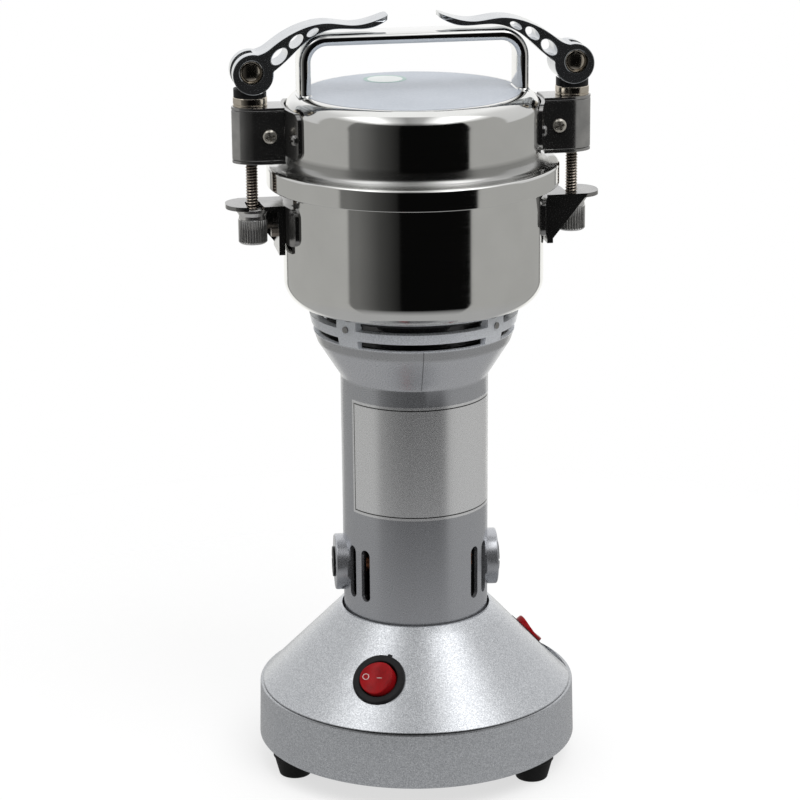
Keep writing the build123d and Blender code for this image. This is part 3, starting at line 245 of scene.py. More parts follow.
def flakePaint(name, look):
    # each small cell is one flake with its own brightness, gloss and height, under a thin clear coat; painted shade
    # darkens the crease, most at the front, and a painted shade line runs where the true cone's surface meets the
    # side facet's plane
    finish, tree, shader = newFinish(name)
    place = ownPlace(tree)
    cells = addNode(tree, "TexVoronoi", {"Vector": place, "Scale": look["flakes"]})
    parts = addNode(tree, "SeparateColor", {"Color": cells.outputs["Color"]}).outputs
    flake = calc(tree, "MULTIPLY", parts[0], noiseField(tree, look["patch"]))
    height = parted(tree, place)[2]
    outward = vectorCalc(tree, "NORMALIZE", levelled(tree, place))
    crease, facetEdgeShade, cone = look["crease"], look["facetEdgeShade"], look["cone"]
    facing = vectorCalc(tree, "DOT_PRODUCT", outward, crease["front"])
    # painted shade: the crease darkens most where the cover faces the front
    depth = between(tree, facing, crease["plain"], crease["dark"], span=crease["turn"])
    clear = calc(tree, "MAXIMUM", between(tree, height, 1, 0, span=crease["low"]),
                 between(tree, height, 0, 1, span=crease["high"]))
    coneAt = calc(tree, "MULTIPLY_ADD", height, -cone["fall"], cone["foot"] + cone["level"] * cone["fall"])
    side = vectorCalc(tree, "DOT_PRODUCT", outward, tuple(facetEdgeShade["normal"]))
    away = calc(tree, "MULTIPLY_ADD", height, float(facetEdgeShade["normal"][2]), -facetEdgeShade["reach"])
    away = calc(tree, "ABSOLUTE", calc(tree, "MULTIPLY_ADD", side, coneAt, away))
    # painted shade: a soft dark line where the cone meets the facet's plane
    line = calc(tree, "MAXIMUM", between(tree, away, facetEdgeShade["faint"], 1, span=facetEdgeShade["width"]),
                between(tree, height, 1, 0, span=facetEdgeShade["start"]))
    tone = calc(tree, "MULTIPLY", calc(tree, "MAXIMUM", depth, clear), line)
    setSockets(tree, shader, {
        "Base Color": dimmed(tree, shade(tree, parts[0], look["stops"]), tone),
        "Roughness": between(tree, parts[1], *look["rough"], span=(0, 1)),
        "Metallic": look["metal"], "Coat Weight": look["coat"], "Coat Roughness": look["coatRough"]})
    lift(tree, shader, flake, look["lift"])
    return finish


def switchPlace(joint, slope):
    # X runs level or up the slope, Y along the rocker's axis and Z out of the cover, in millimetres
    origin = np.array(jointOf[joint]["pos_m"]) * 1000
    axis = unit(jointOf[joint]["axis"])
    out = unit((origin[0], origin[1], 0))
    normal = out * math.sin(math.radians(slope)) + np.array((0, 0, math.cos(math.radians(slope))))
    normal = unit(normal - axis * (normal @ axis))
    return placeAt(origin, np.cross(axis, normal), normal)


facetPlace = switchPlace("side_rocker_tip", facetSlope)
facetNormal, facetMiddle = facetPlace[:3, 2], facetPlace[:3, 3]
finishes["silverPaint"] = flakePaint("silverPaint", {
    "flakes": 3400, "patch": 70, "rough": (0.24, 0.36), "lift": 1.2e-5, "metal": 0.8, "coat": 0.2, "coatRough": 0.3,
    "stops": ((0.0, (0.44, 0.455, 0.48)), (1.0, (0.78, 0.8, 0.83)), (0.5, (0.57, 0.585, 0.61))),
    # painted shade in the crease between cone and skirt, strongest towards the front
    "crease": {"low": (0.0346, 0.0348), "high": (0.0354, 0.0356), "dark": 0.16, "plain": 0.7,
               "front": (-0.165, -0.986, 0), "turn": (0.5, 0.96)},
    # painted shade line along the side facet's edge
    "facetEdgeShade": {"normal": facetNormal, "reach": float(facetNormal @ facetMiddle) * 0.001, "faint": 0.62,
              "width": (0.000045, 0.0003), "start": (0.0353, 0.0359)},
    "cone": {"foot": 0.0674, "level": 0.0359, "fall": 1 / math.tan(math.radians(coneSlope))}})


def tubeFinish(name, look):
    # height picks the tone of tube, flare, band and ring, grain speckles it, a seam runs up the flare's front, and
    # what lies nearer the axis than a limit, which grows along the flare and at the bearing plate, is darkened by
    # painted shade
    finish, tree, shader = newFinish(name)
    place = ownPlace(tree)
    turned = addNode(tree, "Mapping", {"Vector": place, "Rotation": (0, 0, -bodyTurn)})
    across, depth, height = parted(tree, turned.outputs[0])
    seam, inside = look["seam"], look["inside"]
    line = between(tree, calc(tree, "ABSOLUTE", across), seam["dark"], 1, span=seam["width"])
    for field, ends, span in ((height, (1, 0), seam["start"]), (depth, (0, 1), seam["back"]),
                              (height, (0, 1), seam["end"])):
        line = calc(tree, "MAXIMUM", line, between(tree, field, *ends, span=span))
    # painted shade inside the tube and at the bearing plate, seen through the slots
    limit = calc(tree, "ADD", between(tree, height, *inside["limit"], span=inside["flare"]),
                 between(tree, height, 0, inside["wider"], span=inside["plate"]))
    past = calc(tree, "SUBTRACT", vectorCalc(tree, "LENGTH", levelled(tree, place)), limit)
    lit = calc(tree, "MULTIPLY", line, between(tree, past, inside["dark"], 1, span=inside["fade"]))
    grain = noiseField(tree, look["grain"], look["stretch"], look["detail"])
    tone = shade(tree, between(tree, height, 0, 1, span=look["levels"]), look["tones"])
    colour = mixed(tree, 1, tone, drifted(tree, grain, look["speck"]), "MULTIPLY")
    setSockets(tree, shader, {
        "Base Color": dimmed(tree, colour, lit), "Roughness": between(tree, grain, *look["rough"]),
        "Metallic": between(tree, height, *look["metal"], span=look["metalEnd"])})
    lift(tree, shader, grain, look["lift"])
    return finish


tubeTone, flareTone = (0.53, 0.54, 0.57), (0.7, 0.71, 0.74)
bandTone, ringTone = (0.5, 0.505, 0.52), (0.88, 0.91, 0.96)
finishes["turnedTube"] = tubeFinish("turnedTube", {
    "grain": 2600, "stretch": (0.6, 0.6, 1.6), "detail": 4, "rough": (0.22, 0.32), "lift": 2e-6,
    "metal": (0.82, 0.15), "metalEnd": (0.1953, 0.1958), "speck": ((0.9, 0.9, 0.9), (1, 1, 1)),
    # painted shade on what lies inside the tube
    "inside": {"limit": (0.0302, 0.0412), "flare": (0.176, 0.191), "wider": 0.0006, "plate": (0.2045, 0.2053),
               "dark": 0.06, "fade": (-0.0004, 0)},
    "seam": {"width": (0.000132, 0.00022), "dark": 0.35, "start": (0.1758, 0.1761), "end": (0.1955, 0.1958),
             "back": (-0.001, 0.001)},
    "levels": (0.02, 0.22),
    "tones": ((0.0, tubeTone), (1.0, ringTone), (0.776, tubeTone), (0.779, flareTone), (0.854, flareTone),
              (0.857, bandTone), (0.8765, bandTone), (0.879, ringTone))})
print("finishes:", len(finishes))


# shapes, in millimetres until they are put in

def roundedOutline(corners, radii, steps, closed=True):
    # each corner becomes an arc that touches both its sides; long straight runs get a point near each end
    longRun, nearEnd = 1.5, 0.3
    corners = np.asarray(corners, float)
    count = len(corners)
    runs = []
    for index, radius in enumerate(radii):
        here, before, after = corners[index], corners[index - 1], corners[(index + 1) % count]
        if radius <= 0 or (not closed and index in (0, count - 1)):
            runs.append(here[None])
            continue
        inward, outward = unit(before - here), unit(after - here)
        half = math.acos(np.clip(inward @ outward, -1, 1)) / 2
        middle = here + unit(inward + outward) * radius / math.sin(half)
        first = here + inward * radius / math.tan(half) - middle
        last = here + outward * radius / math.tan(half) - middle
        sweep = math.pi - 2 * half
        step = np.linspace(0, 1, steps + 1)[:, None]
        runs.append(middle + (first * np.sin((1 - step) * sweep) + last * np.sin(step * sweep)) / math.sin(sweep))
    line = np.concatenate(runs)
    ends = np.roll(line, -1, 0)
    length = np.linalg.norm(ends - line, axis=1)[:, None]
    near = np.where(length > longRun, nearEnd / np.maximum(length, 1e-9), 0)
    dense = np.stack([line, line + (ends - line) * near, ends + (line - ends) * near], 1)
    keep = np.hstack([length >= 0, length > longRun, length > longRun])
    if not closed:
        keep[-1, 1:] = False
    return dense[keep]


def cornerOutline(look, steps, closed=True):
    # the look's corners, rounded by its own radii
    return roundedOutline(look["corners"], look["rounds"], steps, closed)


def boxOutline(left, right, low, high):
    # the four corners, round to the left
    return np.array(((left, low), (right, low), (right, high), (left, high)))


def placed(points, place):
    # the points turned by the placement's axes and moved to its origin
    return points @ place[:3, :3].T + place[:3, 3]


def gridFaces(rows, cols, wrapRows=False, wrapCols=True):
    # quads between neighbouring rows and columns of a grid that is numbered row by row
    row = np.arange(rows if wrapRows else rows - 1)[:, None]
    col = np.arange(cols if wrapCols else cols - 1)[None, :]
    down, along = (row + 1) % rows, (col + 1) % cols
    quads = [row * cols + col, row * cols + along, down * cols + along, down * cols + col]
    return np.stack(quads, -1).reshape(-1, 4)


def roundGrid(radius, angle, height):
    # r cos a, r sin a, h
    return np.stack([radius * np.cos(angle), radius * np.sin(angle), height + 0 * angle], -1)


def turnedGrid(profile, steps):
    # the profile's radius and height swept round the axis
    return roundGrid(profile[:, 0, None], around(steps), profile[:, 1, None])


def splineThrough(points, count):
    # natural cubic through the points, on their chord lengths
    points = np.asarray(points, float)
    knots = np.concatenate([[0], np.cumsum(np.linalg.norm(np.diff(points, axis=0), axis=1))])
    gaps = np.diff(knots)
    size = len(points)
    system, right = np.eye(size), np.zeros_like(points)
    inner = np.arange(1, size - 1)
    system[inner, inner - 1], system[inner, inner + 1] = gaps[:-1], gaps[1:]
    system[inner, inner] = 2 * (gaps[:-1] + gaps[1:])
    slopes = np.diff(points, axis=0) / gaps[:, None]
    right[inner] = 6 * (slopes[1:] - slopes[:-1])
    bend = np.linalg.solve(system, right)
    along = np.linspace(0, knots[-1], count)
    cell = np.clip(np.searchsorted(knots, along, side="right") - 1, 0, size - 2)
    gap = gaps[cell][:, None]
    ahead, back = (knots[cell + 1] - along)[:, None], (along - knots[cell])[:, None]
    bent = (bend[cell] * ahead ** 3 + bend[cell + 1] * back ** 3) / (6 * gap)
    return (bent + (points[cell] / gap - bend[cell] * gap / 6) * ahead
            + (points[cell + 1] / gap - bend[cell + 1] * gap / 6) * back)


def flatPlate(outlines, thickness, bevel):
    # closed outlines filled as a flat curve, the inner ones as holes, thickened both ways with a bevelled edge
    curve = bpy.data.curves.new("outline", "CURVE")
    curve.dimensions, curve.fill_mode = "2D", "BOTH"
    curve.extrude, curve.bevel_depth, curve.offset = thickness / 2 - bevel, bevel, -bevel
    curve.bevel_resolution = 1
    for outline in outlines:
        run = curve.splines.new("POLY")
        run.points.add(len(outline) - 1)
        run.points.foreach_set("co", np.pad(outline, ((0, 0), (0, 2))).ravel())
        run.use_cyclic_u = True
    holder = bpy.data.objects.new("outline", curve)
    mesh = bpy.data.meshes.new_from_object(holder)
    points = readPoints(mesh)
    faces = [tuple(face.vertices) for face in mesh.polygons]
    bpy.data.objects.remove(holder)
    bpy.data.curves.remove(curve)
    bpy.data.meshes.remove(mesh)
    return points, faces


def readPoints(mesh):
    # the mesh's vertices, in its own unit
    points = np.empty(len(mesh.vertices) * 3)
    mesh.vertices.foreach_get("co", points)
    return points.reshape(-1, 3)


def newMesh(name, points, faces):
    # millimetres become metres here
    mesh = bpy.data.meshes.new(name)
    faces = faces.tolist() if hasattr(faces, "tolist") else faces
    mesh.from_pydata((points.reshape(-1, 3) * 0.001).tolist(), [], faces)
    return mesh


def cleanMesh(mesh, weld):
    # doubles merged and faces turned outwards
    work = bmesh.new()
    work.from_mesh(mesh)
    bmesh.ops.remove_doubles(work, verts=work.verts, dist=weld)
    bmesh.ops.dissolve_degenerate(work, edges=work.edges, dist=weld)
    bmesh.ops.recalc_face_normals(work, faces=work.faces)
    work.to_mesh(mesh)
    work.free()


def smoothShade(mesh, sharp):
    # smooth over every edge up to the sharp angle
    mesh.polygons.foreach_set("use_smooth", np.ones(len(mesh.polygons), bool))
    mesh.set_sharp_from_angle(angle=math.radians(sharp))


def settle(name, mesh, finish, host, stands=True, sharp=35.0, weld=2e-7):
    # a clean, smooth piece that rides on the host's body and, unless it only adds to the host, stands for it
    cleanMesh(mesh, weld)
    smoothShade(mesh, sharp)
    mesh.materials.clear()
    mesh.materials.append(finishes[finish])
    piece = bpy.data.objects.new(name, mesh)
    scene.collection.objects.link(piece)
    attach(piece, bodyOf[host])
    if stands:
        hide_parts(host)
        dressed.add(host)
    return piece


def putPiece(name, points, faces, finish, host, stands=True, sharp=35.0):
    # a piece from its points and faces
    return settle(name, newMesh(name, points, faces), finish, host, stands, sharp)


def gridPiece(name, grid, finish, host, stands=True, sharp=35.0, closed=False):
    # a piece from a grid whose columns go round, and whose rows join up if closed
    return putPiece(name, grid, gridFaces(*grid.shape[:2], closed), finish, host, stands, sharp)


def turnedPiece(name, profile, finish, host, stands=True, steps=128, place=None, closed=True):
    # a piece turned from its profile
    grid = turnedGrid(profile, steps)
    return gridPiece(name, grid if place is None else placed(grid, place), finish, host, stands, closed=closed)


def smoothCopy(node, finish, sharp=25.0, edge=0.0):
    # the node's own shape with its loose triangles merged, smooth shading and, if asked, a bevelled edge
    mesh = nodes[node].data.copy()
    mesh.name = node + "Smooth"
    for extra in [a.name for a in mesh.attributes if a.name in ("custom_normal", "sharp_face", "sharp_edge")]:
        mesh.attributes.remove(mesh.attributes[extra])
    piece = settle(node + "Smooth", mesh, finish, node, True, sharp, 4e-6)
    if edge:
        soft = piece.modifiers.new("edge", "BEVEL")
        soft.width, soft.segments, soft.limit_method = edge * 0.001, 2, "ANGLE"
        soft.angle_limit = math.radians(50)
        soft.use_clamp_overlap = True
        soft.harden_normals = True
    return piece


# lid, bowl and handle

# outlines are pairs of radius and height
bowlLook = {"outer": ((13.0, 207.4), (55.4, 207.4), (55.4, 264.8), (60.5, 264.8)), "sheet": 1.0,
            "inward": ((0, 1), (-1, 1), (-1, 1), (0, 1)), "rounds": (0, 10.9, 1.5, 0.45, 0.45, 2.4, 9.9, 0)}
lidLook = {"outer": ((0, 298.1), (54.1, 298.1), (54.1, 268.3), (62.0, 268.3), (62.0, 259.4)), "sheet": 1.0,
           "inward": ((0, -1), (-1, -1), (-1, -1), (-1, -1), (-1, 0)),
           "rounds": (0, 8.0, 4.0, 1.3, 0.45, 0.45, 0.3, 5.0, 7.0, 0)}
filmLook = {"corners": ((0, 298.22), (45.7, 298.22), (45.7, 298.05), (0, 298.05)), "rounds": (0, 0.05, 0, 0)}


def sheetOutline(look, closed):
    # the drawn sheet's outer face, then back along the same corners moved inward by the sheet's thickness
    outer = np.array(look["outer"])
    inner = outer + look["sheet"] * np.array(look["inward"])
    return roundedOutline(np.concatenate([outer, inner[::-1]]), look["rounds"], 20, closed)


turnedPiece("bowlShell", sheetOutline(bowlLook, True), "mirrorSteel", "bowl", steps=288)
turnedPiece("lidShell", sheetOutline(lidLook, False), "lidSteel", "lid", steps=288, closed=False)
turnedPiece("lidFilm", cornerOutline(filmLook, 3, False), "lidFilm", "lid", False, 192, closed=False)

stickerLook = {"middle": (-7.1, 28.8, 0), "ring": 9.3, "inner": 7.6, "low": 298.2, "high": 298.3}
for name, inside, outside, finish in (("stickerRing", stickerLook["inner"], stickerLook["ring"], "stickerGreen"),
                                      ("stickerDisc", 0.0, stickerLook["inner"], "stickerWhite")):
    band = boxOutline(inside, outside, stickerLook["low"], stickerLook["high"])
    turnedPiece(name, band, finish, "lid", False, 96, placeAt(stickerLook["middle"], (1, 0, 0), (0, 0, 1)))

handleLook = {"halfSpan": 46.1, "low": 298.0, "top": 324.0, "thick": 5.0, "width": 16.0, "bend": 9.5, "weld": 0.7,
              "weldHeight": 1.0, "skin": 0.02, "ringSteps": 48}


def barRing(look):
    # two half rounds of the thickness, as far apart as the flats between them are wide
    thick, steps = look["thick"], look["ringSteps"]
    angle = around(steps) + math.pi / steps
    side = np.sign(np.sin(angle)) * (look["width"] - thick) / 2 + np.sin(angle) * thick / 2
    return np.cos(angle) * thick / 2, side


def handleGrid(look):
    # the bar's section carried up one leg, round two bends and down the other leg
    turn = np.linspace(0, math.pi / 2, 17)
    middle, level, bend = look["halfSpan"], look["top"] - look["thick"] / 2, look["bend"]
    leg = np.linspace(look["low"], level - bend, 6)
    left = np.stack([np.full(6, -middle), leg, np.full(6, -1.0), np.zeros(6)], 1)
    corner = np.stack([-middle + bend * (1 - np.cos(turn)), level - bend + bend * np.sin(turn),
                       -np.cos(turn), np.sin(turn)], 1)
    half = np.concatenate([left, corner[1:]])
    path = np.concatenate([half, half[::-1] * (-1, 1, -1, 1)])
    edge, side = barRing(look)
    x = path[:, 0, None] + path[:, 2, None] * edge
    z = path[:, 1, None] + path[:, 3, None] * edge
    return np.stack([x, side + 0 * x, z], -1)


def footGrid(look, sign):
    # the leg's section grown by a weld that falls off with the square of the height
    rise = np.linspace(0, 1, 9)[:, None]
    edge, side = barRing(look)
    grown = (look["weld"] * (1 - rise) ** 2 + look["skin"]) * 2
    return np.stack([sign * look["halfSpan"] + edge * (1 + grown / look["thick"]),
                     side * (1 + grown / look["width"]), look["low"] + look["weldHeight"] * rise + 0 * edge], -1)


gridPiece("handleBar", handleGrid(handleLook), "handleSteel", "handle")
for side, sign in sides:
    gridPiece("handleFoot" + side, footGrid(handleLook, sign), "handleSteel", "handle", False)
print("lid, bowl and handle made")


# clamps

leverLook = {
    "reach": 57.8, "rise": 21.8, "pivot": 309.302, "clampX": 68.6, "boss": 8.5, "camShift": (0.73, -0.95),
    "pinHole": 4.9, "width": 17.0, "tipWidth": 13.5, "edge": 0.35, "slot": (81.0, 304.0), "slotHalf": 2.95,
    "tipRound": 3.0, "sharp": 22,
    "top": ((0.026, 0.32), (0.095, 0.376), (0.164, 0.50), (0.344, 0.775), (0.559, 0.89), (0.749, 0.835), (1, 1)),
    "under": ((0.995, 0.905), (0.881, 0.775), (0.772, 0.755), (0.571, 0.757), (0.391, 0.532), (0.225, 0.138),
              (0.13, -0.05)),
    "holes": ((0.203, 0.292, 8.4, 5.0, 46.0), (0.326, 0.569, 7.3, 4.0, 43.0), (0.447, 0.726, 5.6, 2.6, 31.0))}


def leverOutlines(look):
    # the arm's two splines outside the boss joined by the boss's long arc, then the pin hole and the oval holes
    size, middle = np.array((look["reach"], look["rise"])), np.array(look["camShift"])
    runs = [splineThrough(np.array(look[key]) * size, 90) for key in ("top", "under")]
    top, under = [run[np.linalg.norm(run - middle, axis=1) > look["boss"]] for run in runs]
    first, last = (math.atan2(*(end - middle)[::-1]) for end in (under[-1], top[0]))
    arc = middle + look["boss"] * rays(np.linspace(first, last - 2 * math.pi, 74)[1:-1])
    ring = rays(around(48))
    outlines = [np.concatenate([top, under, arc]), look["pinHole"] * ring]
    for along, up, length, width, tilt in look["holes"]:
        lean = math.radians(tilt)
        spin = np.array(((math.cos(lean), math.sin(lean)), (-math.sin(lean), math.cos(lean))))
        outlines.append(ring * (length / 2, width / 2) @ spin + size * (along, up))
    return outlines


def leverPiece(look, side, sign):
    # the flat lever narrows towards its rounded tip, and a wedge swept by the bolt is cut out of its boss
    reach, boss, width, tipWidth, tipRound = pick(look, "reach boss width tipWidth tipRound")
    points, faces = flatPlate(leverOutlines(look), width, look["edge"])
    share = np.clip((points[:, 0] - boss) / (reach - boss), 0, 1)
    points[:, 2] *= 1 + share * (tipWidth / width - 1)
    past = np.clip((points[:, 0] - reach) / tipRound + 1, 0, 1)
    points[:, 2] *= 1 - (1 - np.sqrt(1 - past ** 2)) * tipRound * 2 / tipWidth
    place = placeAt((sign * look["clampX"], 0, look["pivot"]), (-sign, 0, 0), (0, sign, 0))
    lever = putPiece("lever" + side, placed(points, place), faces, "leverChrome", "lever_" + side.lower(),
                     sharp=look["sharp"])
    fan = 2 * boss * rays(np.radians(np.linspace(*look["slot"], 24)))
    points, faces = flatPlate([np.concatenate([[(0, 0)], fan])], 2 * look["slotHalf"], 0.0)
    wedge = newMesh("slot", placed(points, place), faces)
    cleanMesh(wedge, 1e-6)
    cutter = bpy.data.objects.new("slot", wedge)
    scene.collection.objects.link(cutter)
    cut = lever.modifiers.new("slot", "BOOLEAN")
    cut.operation, cut.object, cut.solver = "DIFFERENCE", cutter, "EXACT"
    shaped = bpy.data.meshes.new_from_object(lever.evaluated_get(bpy.context.evaluated_depsgraph_get()))
    lever.modifiers.remove(cut)
    lever.data = shaped
    smoothShade(shaped, look["sharp"])
    bpy.data.objects.remove(cutter)


boltLook = {"radius": 2.68, "low": 236.7, "high": 306.0, "pitch": 1.25, "depth": 0.62, "rows": 8, "steps": 32,
            "taper": 1.2}


def boltGrid(look):
    # a screw thread: the radius dips by the depth along a triangle wave of height over pitch less turn
    low, high, pitch, steps = pick(look, "low high pitch steps")
    height = np.linspace(low, high, int((high - low) / pitch * look["rows"]))[:, None]
    angle = around(steps)
    phase = (height / pitch - angle / (2 * math.pi)) % 1
    fade = np.clip((height - low) / look["taper"], 0, 1) * 0.5 + 0.5
    radius = look["radius"] * fade ** 0.25 - look["depth"] * np.abs(2 * phase - 1)
    grid = roundGrid(radius, angle, height)
    ends = np.repeat(grid[[0, -1]].mean(1)[:, None], steps, 1)
    return np.concatenate([ends[:1], grid, ends[1:]])


nutLook = {"radius": 6.1, "low": 235.7, "high": 250.9, "body": 246.2, "collar": 6.75, "neck": 5.85, "bore": 2.75,
           "teeth": 32, "depth": 0.58, "chamfer": 0.7, "neckRise": (0.2, 1.6), "collarHigh": 1.5,
           "rounds": (0, 0.2, 0.2, 0.2, 0.1, 0.3, 0.4, 0.4, 0), "fluteFrom": (0.5, 0.4), "fluteTo": 0.3}


def nutGrid(look, steps=320):
    # a turned knob whose body carries straight flutes: the radius dips with the cosine of teeth times angle
    radius, low, high, body = pick(look, "radius low high body")
    grid = turnedGrid(roundedOutline(
        ((look["bore"], low), (radius - look["chamfer"], low), (radius, low + look["chamfer"]), (radius, body),
         (look["neck"], body + look["neckRise"][0]), (look["neck"], body + look["neckRise"][1]),
         (look["collar"], high - look["collarHigh"]), (look["collar"], high), (look["bore"], high)),
        look["rounds"], 5), steps)
    flute = 0.5 + 0.5 * np.cos(look["teeth"] * around(steps))
    level = grid[..., 2]
    start, soft = look["fluteFrom"]
    span = np.clip((level - low - start) / soft, 0, 1) * np.clip((body - level) / look["fluteTo"], 0, 1)
    wall = span * (np.hypot(grid[..., 0], grid[..., 1]) > radius - look["fluteTo"])
    grid[..., :2] *= (1 - wall * flute * look["depth"] / radius)[..., None]
    return grid


blockLook = {"nose": 8.0, "noseLong": 13.0, "seatRadius": 55.65, "low": 270.4, "high": 294.2, "bolt": 2.95,
             "edge": 0.25, "lip": 1.3, "groove": 0.22, "grooveDeep": 0.5, "lap": 0.1, "sharp": 22}


def blockOutlines(look, nose):
    # a half oval nose that ends a nose's width past the bolt, two flat sides and a hollow back against the saddle
    start = look["nose"] - look["noseLong"]
    front = rays(np.linspace(-math.pi / 2, math.pi / 2, 40)) * (nose - start, nose) + (start, 0)
    half = math.asin(nose / look["seatRadius"])
    hollow = look["seatRadius"] * rays(np.linspace(half, -half, 16)) - (leverLook["clampX"], 0)
    return [np.concatenate([front, hollow]), look["bolt"] * rays(around(32))]


def blockPieces(look, side, stand):
    # lip, wall and cap of one outline, parted by grooves down to a slimmer core
    node = "clamp_block_" + side.lower()
    floor, ceiling = look["low"] + look["lip"], look["high"] - look["lip"]
    for name, low, high, inset in (("Lip", look["low"], floor, 0.0),
                                   ("Core", floor - look["lap"], ceiling + look["lap"], look["grooveDeep"]),
                                   ("Wall", floor + look["groove"], ceiling - look["groove"], 0.0),
                                   ("Cap", ceiling, look["high"], 0.0)):
        points, faces = flatPlate(blockOutlines(look, look["nose"] - inset), high - low, look["edge"])
        points[:, 2] += (high + low) / 2
        putPiece("block" + name + side, placed(points, stand), faces, "blockSteel", node, sharp=look["sharp"])


washerLook = {"corners": ((2.95, 294.2), (7.0, 294.2), (7.2, 294.4), (7.2, 295.0), (6.95, 295.1), (6.95, 295.3),
                          (7.2, 295.4), (7.2, 297.85), (6.95, 298.1), (2.95, 298.1)),
              "rounds": (0, 0.1, 0.1, 0.1, 0.05, 0.05, 0.1, 0.1, 0.1, 0)}
pinLook = {"radius": 4.75, "half": 8.55, "dome": 1.0, "domeEdge": 0.6, "sink": 0.05,
           "rim": ((0.5, 1.0), (0.35, 0), (0.12, 0), (0, 0.15))}


def pinOutline(look):
    # each end is a shallow dome that falls with the square of the radius, inside a raised rim
    rise = np.linspace(0, 1, 14)
    corner = np.array((look["radius"], look["half"]))
    dome = np.stack([rise * (corner[0] - look["domeEdge"]), corner[1] - look["sink"] - look["dome"] * rise ** 2], 1)
    end = np.concatenate([dome, corner - look["rim"]])
    return np.concatenate([end * (1, -1), end[::-1]])


for side, sign in sides:
    small = side.lower()
    stand = placeAt((sign * leverLook["clampX"], 0, 0), (sign, 0, 0), (0, 0, 1))
    across = placeAt((sign * leverLook["clampX"], 0, leverLook["pivot"]), (1, 0, 0), (0, 1, 0))
    leverPiece(leverLook, side, sign)
    gridPiece("bolt" + side, placed(boltGrid(boltLook), stand), "threadNickel", "tension_bolt_" + small, sharp=60)
    gridPiece("nut" + side, placed(nutGrid(nutLook), stand), "nutSteel", "clamp_nut_" + small, sharp=50, closed=True)
    blockPieces(blockLook, side, stand)
    turnedPiece("washer" + side, cornerOutline(washerLook, 4), "warmNickel", "cam_washer_" + small, steps=96,
                place=stand)
    turnedPiece("pin" + side, pinOutline(pinLook), "warmNickel", "barrel_pin_" + small, steps=96, place=across,
                closed=False)
    smoothCopy("cam_seat_" + small, "blackPlastic")
    smoothCopy("lid_saddle_" + small, "plateSteel", edge=0.3)
    smoothCopy("catch_bracket_" + small, "plateSteel", edge=0.3)

screwLook = {"radius": 3.0, "height": 1.9, "brim": 0.25, "arm": 1.75, "half": 0.42, "deep": 1.4, "armSoft": 0.3,
             "halfSoft": 0.12, "sink": 0.2, "level": 282.3, "blockX": 61.5, "blockY": 8.0, "wall": 55.6, "turn": 18.8,
             "saddleShare": 0.82}


def screwGrid(look, steps=96):
    # a domed head, its height the root of one less radius squared, with a cross sunk along x and y
    share = np.concatenate([np.linspace(0, 0.62, 26), np.linspace(0.65, 1, 12)])[:, None]
    angle = around(steps)
    x, y = share * look["radius"] * np.cos(angle), share * look["radius"] * np.sin(angle)
    crown = look["height"] * (look["brim"] + (1 - look["brim"]) * np.sqrt(1 - share ** 2))
    thin, long = np.minimum(np.abs(x), np.abs(y)), np.maximum(np.abs(x), np.abs(y))
    sunk = np.clip((look["half"] - thin) / look["halfSoft"] + 0.5, 0, 1) \
        * np.clip((look["arm"] - long) / look["armSoft"] + 0.5, 0, 1)
    top = np.stack([x, y, crown - look["deep"] * sunk], -1)
    return np.concatenate([top, top[-1:] * (1, 1, 0) - (0, 0, look["sink"])])


def screwHeads(name, node, finish, places, share=1.0):
    # one head at each place, all in one piece
    head = screwGrid(screwLook) * share
    faces = gridFaces(*head.shape[:2])
    count = head.shape[0] * head.shape[1]
    points = np.concatenate([placed(head, place).reshape(-1, 3) for place in places])
    faces = np.concatenate([faces + count * index for index in range(len(places))])
    putPiece(name, points, faces, finish, node, sharp=40)


screwHeads("clampScrewHeads", "clamp_screws", "screwNickel", [
    placeAt((side * screwLook["blockX"], face * screwLook["blockY"], screwLook["level"]), (1, 0, 0.25), (0, face, 0))
    for side in (1, -1) for face in (1, -1)])
ways = rays(np.radians([base + turn for base in (0, 180) for turn in (-screwLook["turn"], screwLook["turn"])]))
screwHeads("saddleScrewHeads", "saddle_screws", "plateSteel", [
    placeAt((*screwLook["wall"] * way, screwLook["level"]), (0, 0, 1), (*way, 0)) for way in ways],
    screwLook["saddleShare"])
print("clamps made")


# motor tube and base

creaseLook = {"level": 35.0, "foot": 67.4, "wall": 69.3, "round": 1.8, "share": 0.33, "deep": 1.1, "wide": 0.9,
              "line": 0.3, "slack": 0.02, "footSlack": 0.03, "roundSlack": 0.15, "deepSlack": 0.05}


def tightenCrease(mesh, look):
    # the skirt's round shrinks towards its corner, and the cone runs on down its slope until a thin line is left
    spots = readPoints(mesh) * 1000
    radius, height = np.hypot(spots[:, 0], spots[:, 1]), spots[:, 2]
    level, foot, slack, deepSlack = pick(look, "level foot slack deepSlack")
    newRadius, newHeight = radius.copy(), height.copy()
    corner = (height > level - look["round"] - look["roundSlack"]) & (height < level + slack) \
        & (radius > foot + look["footSlack"])
    newRadius[corner] = look["wall"] - (look["wall"] - radius[corner]) * look["share"]
    newHeight[corner] = level - (level - height[corner]) * look["share"]
    groove = (height > level - slack) & (height < level + look["wide"] + slack) \
        & (radius > foot - look["deep"] - deepSlack) & ~corner
    run = (look["wide"] - look["line"]) / math.tan(math.radians(coneSlope))
    newRadius[groove] = foot + run * np.where(radius[groove] > foot - deepSlack, 1.0, 0.5)
    newHeight[groove & (height > level + deepSlack)] = level + look["line"]
    spots[:, :2] *= (newRadius / np.maximum(radius, 1e-9))[:, None]
    spots[:, 2] = newHeight
    mesh.vertices.foreach_set("co", (spots * 0.001).ravel())
    mesh.update()


copies = {node: smoothCopy(node, finish, 28, edge) for node, finish, edge in (
    ("motor_housing", "turnedTube", 0), ("bearing_flange", "turnedTube", 0), ("base_cover", "silverPaint", 0),
    ("lock_pins", "plateSteel", 0), ("brush_cap_left", "blackPlastic", 0), ("brush_cap_right", "blackPlastic", 0),
    ("cord_grommet", "blackRubber", 0), ("bracket_bolts", "darkNickel", 0.12))}
tightenCrease(copies["base_cover"].data, creaseLook)

